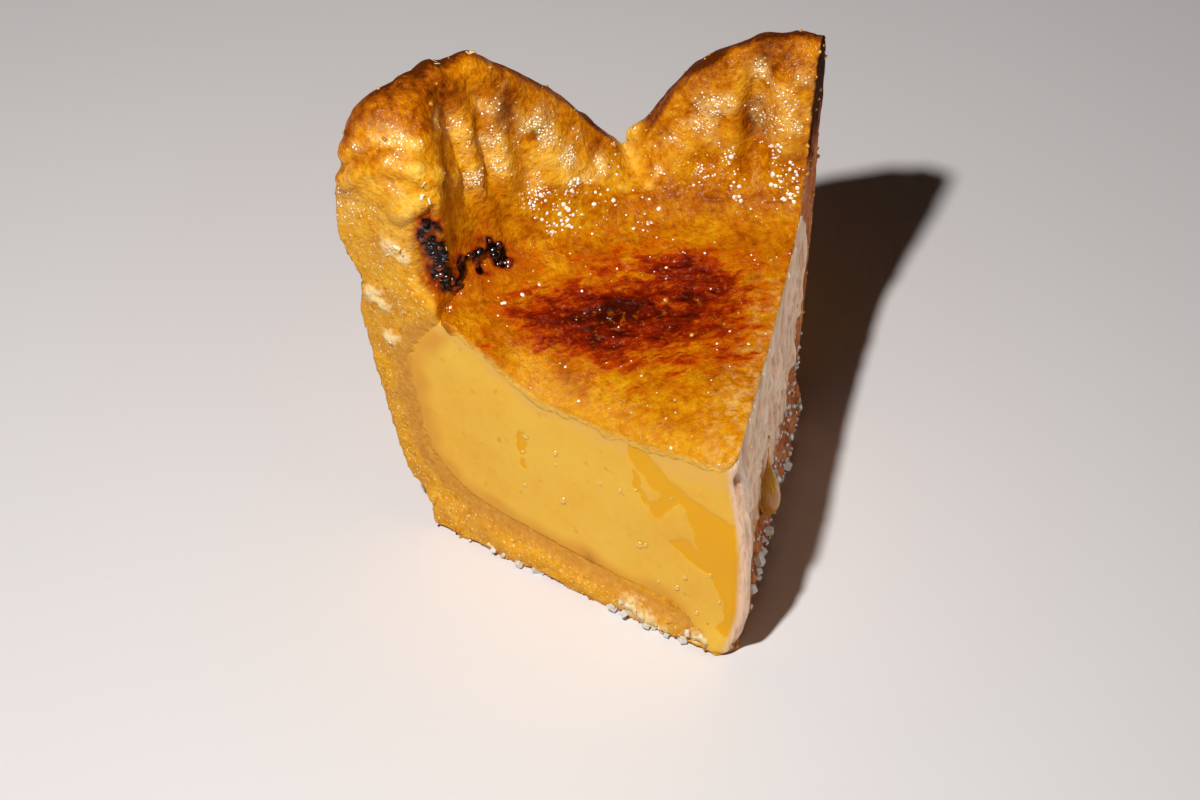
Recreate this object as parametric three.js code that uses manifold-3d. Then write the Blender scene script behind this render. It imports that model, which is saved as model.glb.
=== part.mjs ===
// A slice of creme brulee pie, cut from a deep single-serving pie by two knife cuts.
// Millimetres, +Z up. The slice stands on the flat underside of its crust.
// Angles are in degrees round the pie's centre: 0 is the middle of the slice, positive is towards +X.

import * as THREE from 'three';
import { mergeVertices } from 'three/addons/utils/BufferGeometryUtils.js';
import Module from 'manifold-3d';

const wasm = await Module();
wasm.setup();

// ---- The cuts ----
const SLICE_ANGLE = 70.8;
const TIP_ROUNDING = 1.6;
const KNIFE_REACH = 90;
const KNIFE_PAST_TABLE = 1;

// ---- The crust's base and wall ----
const BASE_RADIUS = 46;
const HEEL_RADIUS = 50.4;
const HEEL_HEIGHT = 6.8;
const HEEL_TUCK = 1.6;
const WALL_RADIUS = 57;
const WALL_WIDEST_HEIGHT = 35;
const WALL_START_HEIGHT = 12;
const WALL_BEND_HEIGHT = 26;
const WAIST_RADIUS = 56.4;
const WAIST_HEIGHT = 41.4;
const CRUMB_FLARE = 1;
const CRUMB_FLARE_HEIGHT = 6;
const CRUMB_TIP_ROUNDING = 3;

// ---- The inside of the crust ----
const BASE_THICKNESS_AT_TIP = 4.3;
const BASE_THICKNESS = 7.2;
const BASE_FLAT_RADIUS = 35;
const CORNER_RADIUS = 45.4;
const CORNER_HEIGHT = 8.4;
const INNER_WALL_RADIUS = 49.8;
const INNER_WALL_LEAN = 1.8;
const INNER_WALL_LOW = 17.5;
const INNER_WALL_HIGH = 28;
const INNER_WALL_BEND = 34.5;

// ---- The crimped rim ----
const LOBE_COUNT = 7;
const VALLEY_ANGLE = 8.5;
const LOBE_LEANS = [1.02, 0.84];
const LOBE_FULLNESS = 0.8;
const VALLEY_HEIGHT = 41.2;
const LOBE_HEIGHT = 23.4;
const LOBE_HEIGHT_SWING = 6;
const VALLEY_RADIUS = 52.6;
const LOBE_RADIUS_GAIN = 3.8;
const LOBE_RADIUS_SWING = 1.8;
const BULGE_RADIUS = 57.2;
const BULGE_RADIUS_GAIN = 3;
const BULGE_HEIGHT_SHARE = 0.38;
const SHOULDER_OUT = 2.8;
const SHOULDER_DROP = 2.1;
const CREST_IN = 1;
const FACE_TOP_IN = 4.5;
const FACE_TOP_DROP = 5.5;
const FACE_FOOT_OUT = 3.4;
const FACE_FOOT_RISE = 6;
const RIM_FOOT_RADIUS = 45;

// The ear: near one cut the rim is folded in over the filling, most of all along its inner edge.
const EAR_ANGLE = -34;
const EAR_SPREAD = 9;
const EAR_REACH = 6;
const EAR_SHARES = { crestIn: 0.5, crestDrop: 0.15, faceIn: 1.1, faceLift: 0.4, footIn: 0.6 };

// Thumb creases pressed into the inner face of the rim: where, how wide and how deep.
const CREASES = [
  { angle: -28, spread: 1.4, depth: 0.5 },
  { angle: -21, spread: 1.5, depth: 1.7 },
  { angle: -15.5, spread: 1.2, depth: 1.3 },
  { angle: 18.5, spread: 1.3, depth: 0.9 },
  { angle: 26.5, spread: 2.4, depth: 2.1 },
];

// ---- The custard and the burnt sugar on it ----
const FILLING_RADIUS = 44.4;
const DISH_HEIGHT = 37.2;
const DISH_RADIUS = 26;
const DISH_RISE_TO_TIP = 3.8;
const DISH_RISE_TO_RIM = 3.4;
const SAG_DEPTH = 3.6;
const SAG_WIDTH = 4;
const SAG_START_RADIUS = 41;
const SAG_FULL_RADIUS = 28;
const CARAMEL_THICKNESS = 1.4;
const GAP = 0.3;

// ---- Fineness of the surfaces ----
const RIM_STEP = 1.25;
const FILLING_STEP = 3.5;
const FINE_REACH = 40;
const COARSE_STEP = 16;
const CURVE_STEPS = 5;
const RIM_CURVE_STEPS = 20;
const SURFACE_STEPS = 12;
const TIP_STEPS = 5;

const FULL_TURN = 360;
const HALF_SLICE = THREE.MathUtils.degToRad(SLICE_ANGLE / 2);
const LOBE_PITCH = FULL_TURN / LOBE_COUNT;

/** A point of an outline: distance from the pie's centre line, and height. */
function point(radius, height) {
  return new THREE.Vector2(radius, height);
}

/** A bell-shaped weight, 1 at the angle `middle` and falling to nothing beside it. */
function bell(angle, middle, spread) {
  return Math.exp(-(((angle - middle) / spread) ** 2));
}

/** How far the rim has risen at an angle: 0 in the pinched valleys, 1 on the crest of a lobe. */
function lobeRise(angle) {
  const turns = (angle - VALLEY_ANGLE) / LOBE_PITCH;
  const lobe = Math.floor(turns);
  const lean = LOBE_LEANS[Math.abs(lobe) % LOBE_LEANS.length];
  return Math.sin(Math.PI * (turns - lobe) ** lean) ** LOBE_FULLNESS;
}

/** The height of the rim's top edge. */
function crestHeight(angle) {
  const swing = LOBE_HEIGHT_SWING * Math.sin(THREE.MathUtils.degToRad(angle));
  return VALLEY_HEIGHT + lobeRise(angle) * (LOBE_HEIGHT - swing);
}

/** How deep the creases go into the inner face of the rim. */
function creaseDepth(angle) {
  return CREASES.reduce((sum, crease) => sum + crease.depth * bell(angle, crease.angle, crease.spread), 0);
}

/** How far the glazed surface has sagged towards the cut on the -X side. */
function sag(radius, angle) {
  const fromCut = Math.max(0, radius * Math.sin(THREE.MathUtils.degToRad(angle) + HALF_SLICE));
  const inward = THREE.MathUtils.smoothstep(SAG_START_RADIUS - radius, 0, SAG_START_RADIUS - SAG_FULL_RADIUS);
  return SAG_DEPTH * inward * Math.exp(-fromCut / SAG_WIDTH);
}

/** The height of the pie's glazed surface, which dips between the tip and the rim. */
function surfaceHeight(radius, angle) {
  const towardsTip = radius < DISH_RADIUS;
  const reach = towardsTip ? DISH_RADIUS : FILLING_RADIUS - DISH_RADIUS;
  const rise = towardsTip ? DISH_RISE_TO_TIP : DISH_RISE_TO_RIM;
  return DISH_HEIGHT + rise * ((radius - DISH_RADIUS) / reach) ** 2 - sag(radius, angle);
}

/** Points along the glazed surface, lowered by `drop`, from the centre line out to its edge. */
function surfaceOutline(angle, drop) {
  const edge = FILLING_RADIUS - GAP;
  const steps = Array.from({ length: SURFACE_STEPS + 1 }, (_, step) => (step / SURFACE_STEPS) * edge);
  return steps.map((radius) => point(radius, surfaceHeight(radius, angle) - drop));
}

/** The inside of the crust, from the centre line out and up, moved into the filling by `inset`. */
function innerOutline(inset) {
  const wall = INNER_WALL_RADIUS - inset;
  const lipHeight = surfaceHeight(FILLING_RADIUS, 0) - CARAMEL_THICKNESS;
  const corner = new THREE.QuadraticBezierCurve(
    point(BASE_FLAT_RADIUS, BASE_THICKNESS + inset),
    point(CORNER_RADIUS - inset, CORNER_HEIGHT + inset),
    point(wall - INNER_WALL_LEAN, INNER_WALL_LOW),
  );
  const upper = new THREE.QuadraticBezierCurve(
    point(wall, INNER_WALL_HIGH),
    point(wall, INNER_WALL_BEND),
    point(FILLING_RADIUS - inset, lipHeight - inset),
  );
  return [
    point(0, BASE_THICKNESS_AT_TIP + inset),
    ...corner.getPoints(CURVE_STEPS),
    ...upper.getPoints(CURVE_STEPS),
  ];
}

/** The outside of the crust, from the centre line out along the table and up to the waist. */
function outerOutline() {
  const heel = new THREE.QuadraticBezierCurve(
    point(BASE_RADIUS, 0),
    point(BASE_RADIUS, HEEL_HEIGHT - HEEL_TUCK),
    point(HEEL_RADIUS, HEEL_HEIGHT),
  );
  const wall = new THREE.QuadraticBezierCurve(
    point(HEEL_RADIUS + HEEL_TUCK, WALL_START_HEIGHT),
    point(WALL_RADIUS - HEEL_TUCK, WALL_BEND_HEIGHT),
    point(WALL_RADIUS, WALL_WIDEST_HEIGHT),
  );
  return [point(0, 0), ...heel.getPoints(CURVE_STEPS), ...wall.getPoints(CURVE_STEPS)];
}

/** The rim over the waist: out to its bulge, up to the crest and down its inner face. */
function rimOutline(angle) {
  const rise = lobeRise(angle);
  const crest = crestHeight(angle);
  const outward = LOBE_RADIUS_SWING * Math.sin(THREE.MathUtils.degToRad(angle));
  const crestRadius = VALLEY_RADIUS + (LOBE_RADIUS_GAIN - outward) * rise;
  const bulge = BULGE_RADIUS + (BULGE_RADIUS_GAIN - outward) * rise;
  const bulgeHeight = WAIST_HEIGHT + BULGE_HEIGHT_SHARE * (crest - WAIST_HEIGHT);
  const dent = creaseDepth(angle);
  const footHeight = surfaceHeight(FILLING_RADIUS, angle);
  const ear = EAR_REACH * bell(angle, EAR_ANGLE, EAR_SPREAD);
  const crestTop = point(
    crestRadius - CREST_IN - EAR_SHARES.crestIn * ear,
    crest - EAR_SHARES.crestDrop * ear,
  );
  const faceTop = point(
    crestRadius - FACE_TOP_IN * rise - EAR_SHARES.faceIn * ear + dent,
    crest - FACE_TOP_DROP * rise + EAR_SHARES.faceLift * ear,
  );
  const faceFoot = point(
    RIM_FOOT_RADIUS + FACE_FOOT_OUT - EAR_SHARES.footIn * ear + dent * rise,
    footHeight + FACE_FOOT_OUT / 3 + FACE_FOOT_RISE * rise,
  );
  const curve = new THREE.SplineCurve([
    point(WAIST_RADIUS, WAIST_HEIGHT),
    point(bulge, bulgeHeight),
    point(crestRadius + SHOULDER_OUT, crest - SHOULDER_DROP * rise),
    crestTop,
    faceTop,
    faceFoot,
    point(RIM_FOOT_RADIUS, footHeight),
  ]);
  return curve.getPoints(RIM_CURVE_STEPS);
}

/** The angles at which an outline is swept: close together in the slice, far apart behind it. */
function sweepAngles(fineStep) {
  const angles = [];
  for (let angle = -FINE_REACH; angle <= FINE_REACH; angle += fineStep) {
    angles.push(angle);
  }
  for (let angle = FINE_REACH + COARSE_STEP; angle < FULL_TURN - FINE_REACH; angle += COARSE_STEP) {
    angles.push(angle);
  }
  return angles;
}

/** A closed solid round the pie's centre line, whose outline may change with the angle. */
function turnedSolid(fineStep, outlineAt) {
  const angles = sweepAngles(fineStep);
  const outlines = angles.map((angle) => outlineAt(angle));
  const count = outlines[0].length - 2;
  const positions = [0, 0, outlines[0][0].y, 0, 0, outlines[0][count + 1].y];
  angles.forEach((angle, row) => {
    const turn = THREE.MathUtils.degToRad(angle);
    for (let k = 1; k <= count; k += 1) {
      const { x: radius, y: height } = outlines[row][k];
      positions.push(radius * Math.sin(turn), radius * Math.cos(turn), height);
    }
  });
  const vertex = (row, k) => 2 + (row % angles.length) * count + k;
  const index = [];
  for (let row = 0; row < angles.length; row += 1) {
    index.push(0, vertex(row, 0), vertex(row + 1, 0));
    index.push(1, vertex(row + 1, count - 1), vertex(row, count - 1));
    for (let k = 0; k < count - 1; k += 1) {
      index.push(vertex(row, k), vertex(row, k + 1), vertex(row + 1, k));
      index.push(vertex(row + 1, k), vertex(row, k + 1), vertex(row + 1, k + 1));
    }
  }
  const geometry = new THREE.BufferGeometry();
  geometry.setAttribute('position', new THREE.Float32BufferAttribute(positions, 3));
  geometry.setIndex(index);
  return geometry;
}

/** The plan of a slice that stands `flare` proud of the two cuts, with a rounded tip. */
function slicePlan(flare, rounding) {
  const apex = -flare / Math.sin(HALF_SLICE);
  const farX = KNIFE_REACH * Math.sin(HALF_SLICE);
  const farY = apex + KNIFE_REACH * Math.cos(HALF_SLICE);
  const path = new THREE.Path();
  path.moveTo(farX, farY);
  path.lineTo(-farX, farY);
  path.absarc(0, apex + rounding / Math.sin(HALF_SLICE), rounding, Math.PI + HALF_SLICE, -HALF_SLICE, false);
  return path.getPoints(TIP_STEPS);
}

/** A closed block through a stack of plans, each with its height, from the bottom up. */
function stackedBlock(levels) {
  const count = levels[0].plan.length;
  const positions = levels.flatMap(({ plan, height }) => plan.flatMap(({ x, y }) => [x, y, height]));
  const index = [];
  for (let level = 0; level + 1 < levels.length; level += 1) {
    for (let k = 0; k < count; k += 1) {
      const here = level * count + k;
      const next = level * count + ((k + 1) % count);
      index.push(here, next, here + count);
      index.push(next, next + count, here + count);
    }
  }
  const top = (levels.length - 1) * count;
  for (const [a, b, c] of THREE.ShapeUtils.triangulateShape(levels[0].plan, [])) {
    index.push(a, c, b);
    index.push(top + a, top + b, top + c);
  }
  const geometry = new THREE.BufferGeometry();
  geometry.setAttribute('position', new THREE.Float32BufferAttribute(positions, 3));
  geometry.setIndex(index);
  return geometry;
}

/** The knife's block for the filling: two upright cuts that meet in a rounded edge. */
function straightSlice() {
  const plan = slicePlan(0, TIP_ROUNDING);
  return stackedBlock([
    { plan, height: -KNIFE_PAST_TABLE },
    { plan, height: KNIFE_REACH },
  ]);
}

/** The knife's block for the crust, whose base crumbles out a little past the cuts. */
function flaredSlice() {
  const flared = slicePlan(CRUMB_FLARE, CRUMB_TIP_ROUNDING);
  const straight = slicePlan(0, TIP_ROUNDING);
  return stackedBlock([
    { plan: flared, height: -KNIFE_PAST_TABLE },
    { plan: flared, height: CRUMB_FLARE_HEIGHT / 2 },
    { plan: straight, height: CRUMB_FLARE_HEIGHT },
    { plan: straight, height: KNIFE_REACH },
  ]);
}

/** A closed geometry as a solid that can be cut. */
function asSolid(geometry) {
  const merged = mergeVertices(geometry);
  return new wasm.Manifold(
    new wasm.Mesh({
      numProp: 3,
      vertProperties: new Float32Array(merged.attributes.position.array),
      triVerts: new Uint32Array(merged.index.array),
    }),
  );
}

/** A named mesh of what is left of a turned solid inside the knife's block. */
function slicedMesh(name, turned, block, look) {
  const { vertProperties, triVerts } = asSolid(turned).intersect(asSolid(block)).getMesh();
  const geometry = new THREE.BufferGeometry();
  geometry.setAttribute('position', new THREE.BufferAttribute(vertProperties, 3));
  geometry.setIndex(new THREE.BufferAttribute(triVerts, 1));
  geometry.computeVertexNormals();
  const mesh = new THREE.Mesh(geometry, new THREE.MeshStandardMaterial(look));
  mesh.name = name;
  return mesh;
}

/** The baked shell: base, sloping wall and crimped rim in one piece. */
function crust() {
  const turned = turnedSolid(RIM_STEP, (angle) => [
    ...outerOutline(),
    ...rimOutline(angle),
    ...innerOutline(0).reverse(),
  ]);
  return slicedMesh('crust', turned, flaredSlice(), { color: '#c8862f', roughness: 0.5, metalness: 0 });
}

/** The set custard, from the base up to the burnt sugar. */
function custard() {
  const turned = turnedSolid(FILLING_STEP, (angle) => [
    ...innerOutline(GAP).slice(0, -1),
    ...surfaceOutline(angle, CARAMEL_THICKNESS + GAP).reverse(),
  ]);
  return slicedMesh('custard', turned, straightSlice(), { color: '#e3ad4f', roughness: 0.4, metalness: 0 });
}

/** The sheet of burnt sugar that covers the custard out to the foot of the rim. */
function caramelTop() {
  const turned = turnedSolid(FILLING_STEP, (angle) => [
    ...surfaceOutline(angle, CARAMEL_THICKNESS),
    ...surfaceOutline(angle, 0).reverse(),
  ]);
  return slicedMesh('caramel_top', turned, straightSlice(), { color: '#a8520f', roughness: 0.2, metalness: 0 });
}

/** The whole slice, moved so that the origin is under the middle of its bounding box. */
function pieSlice() {
  const slice = new THREE.Group();
  slice.add(crust(), custard(), caramelTop());
  const middle = new THREE.Box3().setFromObject(slice).getCenter(new THREE.Vector3());
  slice.position.set(-middle.x, -middle.y, 0);
  return slice;
}

export default pieSlice();
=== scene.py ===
# %% [markdown]
# # A slice of creme brulee pie
#
# The object is one wedge of a deep, single-serving pie: a baked crust with a tall crimped rim, a set
# custard, and a sheet of burnt sugar that runs from the tip up on to the foot of the rim.
#
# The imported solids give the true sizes, but they are faceted. Food has no straight facets, so each solid is
# copied, rebuilt as an even closed mesh of tiny faces, and shaped with numbers that are worked out for every
# point from where it lies in the pie. The same numbers are kept as attributes, which the materials read, so
# relief and colour always agree.

import math

import bmesh
import bpy
import numpy as np
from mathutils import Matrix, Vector
from mathutils.bvhtree import BVHTree


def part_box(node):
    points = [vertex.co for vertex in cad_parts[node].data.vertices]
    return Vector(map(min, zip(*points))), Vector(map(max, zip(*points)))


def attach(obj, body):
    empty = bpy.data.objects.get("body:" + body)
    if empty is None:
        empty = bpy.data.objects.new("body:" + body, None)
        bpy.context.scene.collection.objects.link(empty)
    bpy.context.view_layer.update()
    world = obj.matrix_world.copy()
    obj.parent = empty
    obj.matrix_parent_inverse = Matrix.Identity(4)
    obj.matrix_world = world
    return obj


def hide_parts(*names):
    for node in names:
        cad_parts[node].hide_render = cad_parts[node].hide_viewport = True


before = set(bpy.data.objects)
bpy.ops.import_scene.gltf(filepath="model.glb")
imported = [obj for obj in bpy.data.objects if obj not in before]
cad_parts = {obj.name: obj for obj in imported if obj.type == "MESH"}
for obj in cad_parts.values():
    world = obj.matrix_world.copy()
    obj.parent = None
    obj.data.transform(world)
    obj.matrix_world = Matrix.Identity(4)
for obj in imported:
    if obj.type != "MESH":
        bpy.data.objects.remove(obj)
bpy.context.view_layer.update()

# %% [markdown]
# ## Where things lie in a pie
#
# A slice is easiest to describe round the pie's own centre line: how far out, how far round and how high.
# The centre line is not stored in the frame, but it follows from the custard: its tip is rounded, and the
# round sits in the corner between the two cuts. All lengths below are millimetres in that pie frame.

# %% The pie frame
MM = 0.001
HALF_SLICE = math.radians(35.4)
TIP_ROUNDING = 1.6
CUSTARD_LOW, CUSTARD_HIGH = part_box("custard")
AXIS = np.array([
    (CUSTARD_LOW.x + CUSTARD_HIGH.x) / 2 / MM,
    CUSTARD_LOW.y / MM - TIP_ROUNDING * (1 / math.sin(HALF_SLICE) - 1),
    0.0,
])
LEFT_CUT = np.array([-math.cos(HALF_SLICE), -math.sin(HALF_SLICE), 0.0])
RIGHT_CUT = np.array([math.cos(HALF_SLICE), -math.sin(HALF_SLICE), 0.0])


def smooth(value, low, high):
    """0 below `low`, 1 above `high`, and an easy curve between; `low` may be the larger of the two."""
    t = np.clip((value - low) / (high - low), 0.0, 1.0)
    return t * t * (3 - 2 * t)


def bell(value, middle, spread):
    """1 at `middle`, falling to nothing a couple of `spread` away."""
    return np.exp(-(((value - middle) / spread) ** 2))


class Place:
    """Where each point of a mesh lies in the pie."""

    def __init__(self, points):
        self.p = points
        self.x, self.y, self.z = points.T
        self.r = np.hypot(self.x, self.y)
        self.angle = np.degrees(np.arctan2(self.x, self.y))
        self.from_left = -points @ LEFT_CUT
        self.from_right = -points @ RIGHT_CUT
        self.along_left = self.y * math.cos(HALF_SLICE) - self.x * math.sin(HALF_SLICE)
        self.along_right = self.y * math.cos(HALF_SLICE) + self.x * math.sin(HALF_SLICE)


print("the pie's centre line stands at", AXIS.round(2), "mm")

# %% [markdown]
# ## Noise made by hand
#
# Baking is uneven in a smooth way: a lump here, a blister there. Blender has noise textures, but a modifier
# can only push along the normal and a shader can't move the mesh at all. A small noise function in numpy can
# be stretched along any direction, masked by any place, and gives the same result each run.

# %% Noise
HASH_STEPS = (0x9E3779B1, 0x85EBCA77, 0xC2B2AE3D, 0x27D4EB2F)
HASH_MIX = 0x2C1B3C6D
HASH_TOP = 2**32


def hashed(cell, seed):
    """A repeatable number from 0 to 1 for each whole-numbered grid cell."""
    parts = (cell & 0xFFFFFFFF).astype(np.uint64)
    n = np.full(len(cell), (seed * HASH_STEPS[3]) % HASH_TOP, np.uint64)
    for axis in range(3):
        n ^= (parts[:, axis] * np.uint64(HASH_STEPS[axis])) % np.uint64(HASH_TOP)
        n ^= n >> np.uint64(15)
        n = (n * np.uint64(HASH_MIX)) % np.uint64(HASH_TOP)
        n ^= n >> np.uint64(12)
    return n.astype(float) / HASH_TOP


def noise(points, size, seed):
    """Smooth noise from -1 to 1 with bumps about `size` mm apart; `size` may differ along the three axes."""
    spot = points / np.asarray(size, float)
    cell = np.floor(spot).astype(np.int64)
    t = spot - cell
    t = t * t * t * (t * (t * 6 - 15) + 10)
    total = np.zeros(len(points))
    for corner in np.ndindex(2, 2, 2):
        step = np.array(corner)
        weight = np.prod(np.where(step, t, 1 - t), axis=1)
        total += weight * hashed(cell + step, seed)
    return 2 * total - 1


def rough(points, size, seed, octaves=3, fade=0.5):
    """Noise with finer and fainter noise laid over it."""
    total = np.zeros(len(points))
    for octave in range(octaves):
        total += fade**octave * noise(points, np.asarray(size, float) / 2**octave, seed + 7 * octave)
    return total


def ridges(points, size, seed):
    """Noise with sharp crests, as in wrinkled skin: 1 on a crest, falling to 0."""
    return 1 - np.minimum(1, 2.2 * np.abs(noise(points, size, seed)))


# %% [markdown]
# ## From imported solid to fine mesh
#
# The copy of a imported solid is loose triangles, so its doubles are merged first. The Remesh modifier in voxel
# mode then wraps it in even quads. What is left of the facets goes away with a few rounds of smoothing, each
# followed by a slightly stronger push back, which keeps the volume (Taubin's smoothing).

# %% Mesh helpers
SMOOTH_PULL = 0.5
SMOOTH_PUSH = -0.52


def add_object(name, mesh):
    """A new object at the origin, shown in the scene."""
    obj = bpy.data.objects.new(name, mesh)
    bpy.context.scene.collection.objects.link(obj)
    return obj


def plain_mesh(obj, name):
    """The object's mesh with its modifiers applied, as an object of its own; the first one is removed."""
    depsgraph = bpy.context.evaluated_depsgraph_get()
    mesh = bpy.data.meshes.new_from_object(obj.evaluated_get(depsgraph))
    mesh.name = name
    old = obj.data
    bpy.data.objects.remove(obj)
    if old.users == 0:
        bpy.data.meshes.remove(old)
    return add_object(name, mesh)


def remeshed(obj, name, voxel):
    """The object as one even closed mesh whose faces are `voxel` mm across."""
    wrap = obj.modifiers.new("even faces", "REMESH")
    wrap.mode = "VOXEL"
    wrap.voxel_size = voxel * MM
    return plain_mesh(obj, name)


def fine_copy(node, name, voxel):
    """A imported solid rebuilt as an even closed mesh."""
    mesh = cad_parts[node].data.copy()
    work = bmesh.new()
    work.from_mesh(mesh)
    bmesh.ops.remove_doubles(work, verts=work.verts, dist=0.001 * MM)
    work.to_mesh(mesh)
    work.free()
    mesh.materials.clear()
    return remeshed(add_object(name + "_rough", mesh), name, voxel)


def read_points(obj):
    """The mesh's points in the pie frame."""
    flat = np.empty(len(obj.data.vertices) * 3, np.float32)
    obj.data.vertices.foreach_get("co", flat)
    return flat.reshape(-1, 3).astype(float) / MM - AXIS


def write_points(obj, points):
    """Puts the mesh's points at places given in the pie frame."""
    flat = ((points + AXIS) * MM).astype(np.float32).ravel()
    obj.data.vertices.foreach_set("co", flat)
    obj.data.update()


def read_normals(obj):
    """The mesh's outward direction at each point."""
    flat = np.empty(len(obj.data.vertices) * 3, np.float32)
    obj.data.vertex_normals.foreach_get("vector", flat)
    return flat.reshape(-1, 3).astype(float)


def mesh_edges(obj):
    """The two ends of every edge."""
    ends = np.empty(len(obj.data.edges) * 2, np.int32)
    obj.data.edges.foreach_get("vertices", ends)
    return ends.reshape(-1, 2).T


def toward_mean(points, ends, share):
    """The points moved by `share` of the way to the mean of their neighbours."""
    a, b = ends
    count = len(points)
    neighbours = np.maximum(np.bincount(a, minlength=count) + np.bincount(b, minlength=count), 1)
    moved = points.copy()
    for axis in range(3):
        value = points[:, axis]
        total = np.bincount(a, value[b], count) + np.bincount(b, value[a], count)
        moved[:, axis] += share * (total / neighbours - value)
    return moved


def evened(obj, points, rounds):
    """The points after rounds of smoothing and pushing back, which keep the volume."""
    ends = mesh_edges(obj)
    for _ in range(rounds):
        points = toward_mean(points, ends, SMOOTH_PULL)
        points = toward_mean(points, ends, SMOOTH_PUSH)
    return points


def softened(obj, points, share, rounds):
    """The points after plain smoothing where `share` is above 0, which rounds sharp edges over."""
    ends = mesh_edges(obj)
    ends = ends[:, (share[ends[0]] > 0) | (share[ends[1]] > 0)]
    for _ in range(rounds):
        points = toward_mean(points, ends, 0.5 * share)
    return points


def keep(obj, name, values):
    """Stores a number for each point, for a material or a scatter to read."""
    layer = obj.data.attributes.new(name, "FLOAT", "POINT")
    layer.data.foreach_set("value", np.asarray(values, np.float32))


def finish_piece(obj, material, slot, *nodes):
    """Smooth shading, the material, and the calls that tie the piece to the frame."""
    obj.data.polygons.foreach_set("use_smooth", [True] * len(obj.data.polygons))
    obj.data.materials.clear()
    obj.data.materials.append(material)
    slice_pieces.objects.link(obj)
    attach(obj, "root")
    if nodes:
        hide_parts(*nodes)
    triangles = sum(len(face.vertices) - 2 for face in obj.data.polygons)
    print(f"{obj.name}: {triangles} triangles")


# %% [markdown]
# ## Colours and nodes
#
# Colours are written as they look on a screen, in hex, and turned to the linear numbers that a shader needs
# by one function. One more function adds a node of any kind, sets its inputs and draws its links. A number in
# a shader is kept as a `Share`, so that the sums of a material can be written as sums.

# %% Material helpers
def colour(code):
    """A screen colour such as #c8862f as linear red, green, blue, alpha."""
    values = [int(code[k:k + 2], 16) / 255 for k in (1, 3, 5)]
    linear = [v / 12.92 if v <= 0.04045 else ((v + 0.055) / 1.055) ** 2.4 for v in values]
    return (*linear, 1.0)


def add_node(tree, kind, settings=None, out=0, stops=(), **inputs):
    """Adds a node and gives its output `out`; an input given as a socket is linked, anything else is set.

    An input's name is written with _ for a space, and _6 is the input with number 6. `stops` are the places
    and screen colours of a colour ramp.
    """
    node = tree.nodes.new(kind)
    for name, value in (settings or {}).items():
        setattr(node, name, value)
    for k, (place, code) in enumerate(stops):
        marks = node.color_ramp.elements
        mark = marks[k] if k < len(marks) else marks.new(place)
        mark.position = place
        mark.color = colour(code)
    for name, value in inputs.items():
        socket = node.inputs[int(name[1:]) if name[0] == "_" else name.replace("_", " ")]
        value = getattr(value, "socket", value)
        if isinstance(value, bpy.types.NodeSocket):
            tree.links.new(value, socket)
        else:
            socket.default_value = value
    return node.outputs[out] if node.outputs else None


class Share:
    """A number that a shader works out for every point; sums and products of it are Math nodes."""

    def __init__(self, tree, source):
        """`source` is a socket, or the name of an attribute that `keep` stored."""
        if isinstance(source, str):
            source = add_node(tree, "ShaderNodeAttribute", {"attribute_name": source}, "Fac")
        self.tree = tree
        self.socket = source

    def into(self, kind, settings=None, **inputs):
        """The first output of a new node whose first input is this number."""
        return Share(self.tree, add_node(self.tree, kind, settings, _0=self, **inputs))

    def __add__(self, other):
        return self.into("ShaderNodeMath", {"operation": "ADD"}, _1=other)

    def __sub__(self, other):
        return self.into("ShaderNodeMath", {"operation": "SUBTRACT"}, _1=other)

    def __mul__(self, other):
        return self.into("ShaderNodeMath", {"operation": "MULTIPLY"}, _1=other)


def speckle(tree, size, detail=1.0, stretch=(1, 1, 1), turn=0.0):
    """Noise from 0 to 1 on object coordinates, with grains `size` mm across."""
    where = add_node(tree, "ShaderNodeTexCoord", out="Object")
    scale = [1 / (size * MM * s) for s in stretch]
    where = add_node(tree, "ShaderNodeMapping", Vector=where, Rotation=(0, 0, turn), Scale=scale)
    grain = add_node(tree, "ShaderNodeTexNoise", Vector=where, Scale=1.0, Detail=detail, Roughness=0.55)
    return Share(tree, grain)


def layered(base, *layers):
    """Colours laid over `base` one after another; each comes with the share of it that shows."""
    for share, top in layers:
        top = colour(top) if isinstance(top, str) else top
        base = add_node(share.tree, "ShaderNodeMix", {"data_type": "RGBA"}, 2, _0=share, _6=base, _7=top)
    return base


def bumped(*reliefs):
    """A normal with reliefs laid over each other; each has a height (0 to 1), depth in mm and strength."""
    under = {}
    for height, depth, strength in reliefs:
        normal = add_node(
            height.tree, "ShaderNodeBump", Height=height, Distance=depth * MM, Strength=strength, **under
        )
        under = {"Normal": normal}
    return normal


def new_material(name):
    """A material and its empty tree."""
    material = bpy.data.materials.new(name)
    material.use_nodes = True
    material.node_tree.nodes.clear()
    return material, material.node_tree


def set_surface(tree, **inputs):
    """The shader that light meets, joined to the material's output."""
    shader = add_node(tree, "ShaderNodeBsdfPrincipled", **inputs)
    add_node(tree, "ShaderNodeOutputMaterial", Surface=shader)


# %% [markdown]
# ## Camera, floor and light
#
# The camera looks down on the slice from a little to the left of its tip, through a long lens. The slice
# stands on a plain pale table. One small lamp, high on the left and close by, gives the crisp shadow and the
# sparkle that wet sugar needs. Two soft panels, beside and behind, light only the slice, so that its shaded
# sides can be seen while the shadow on the table stays deep.

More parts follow.
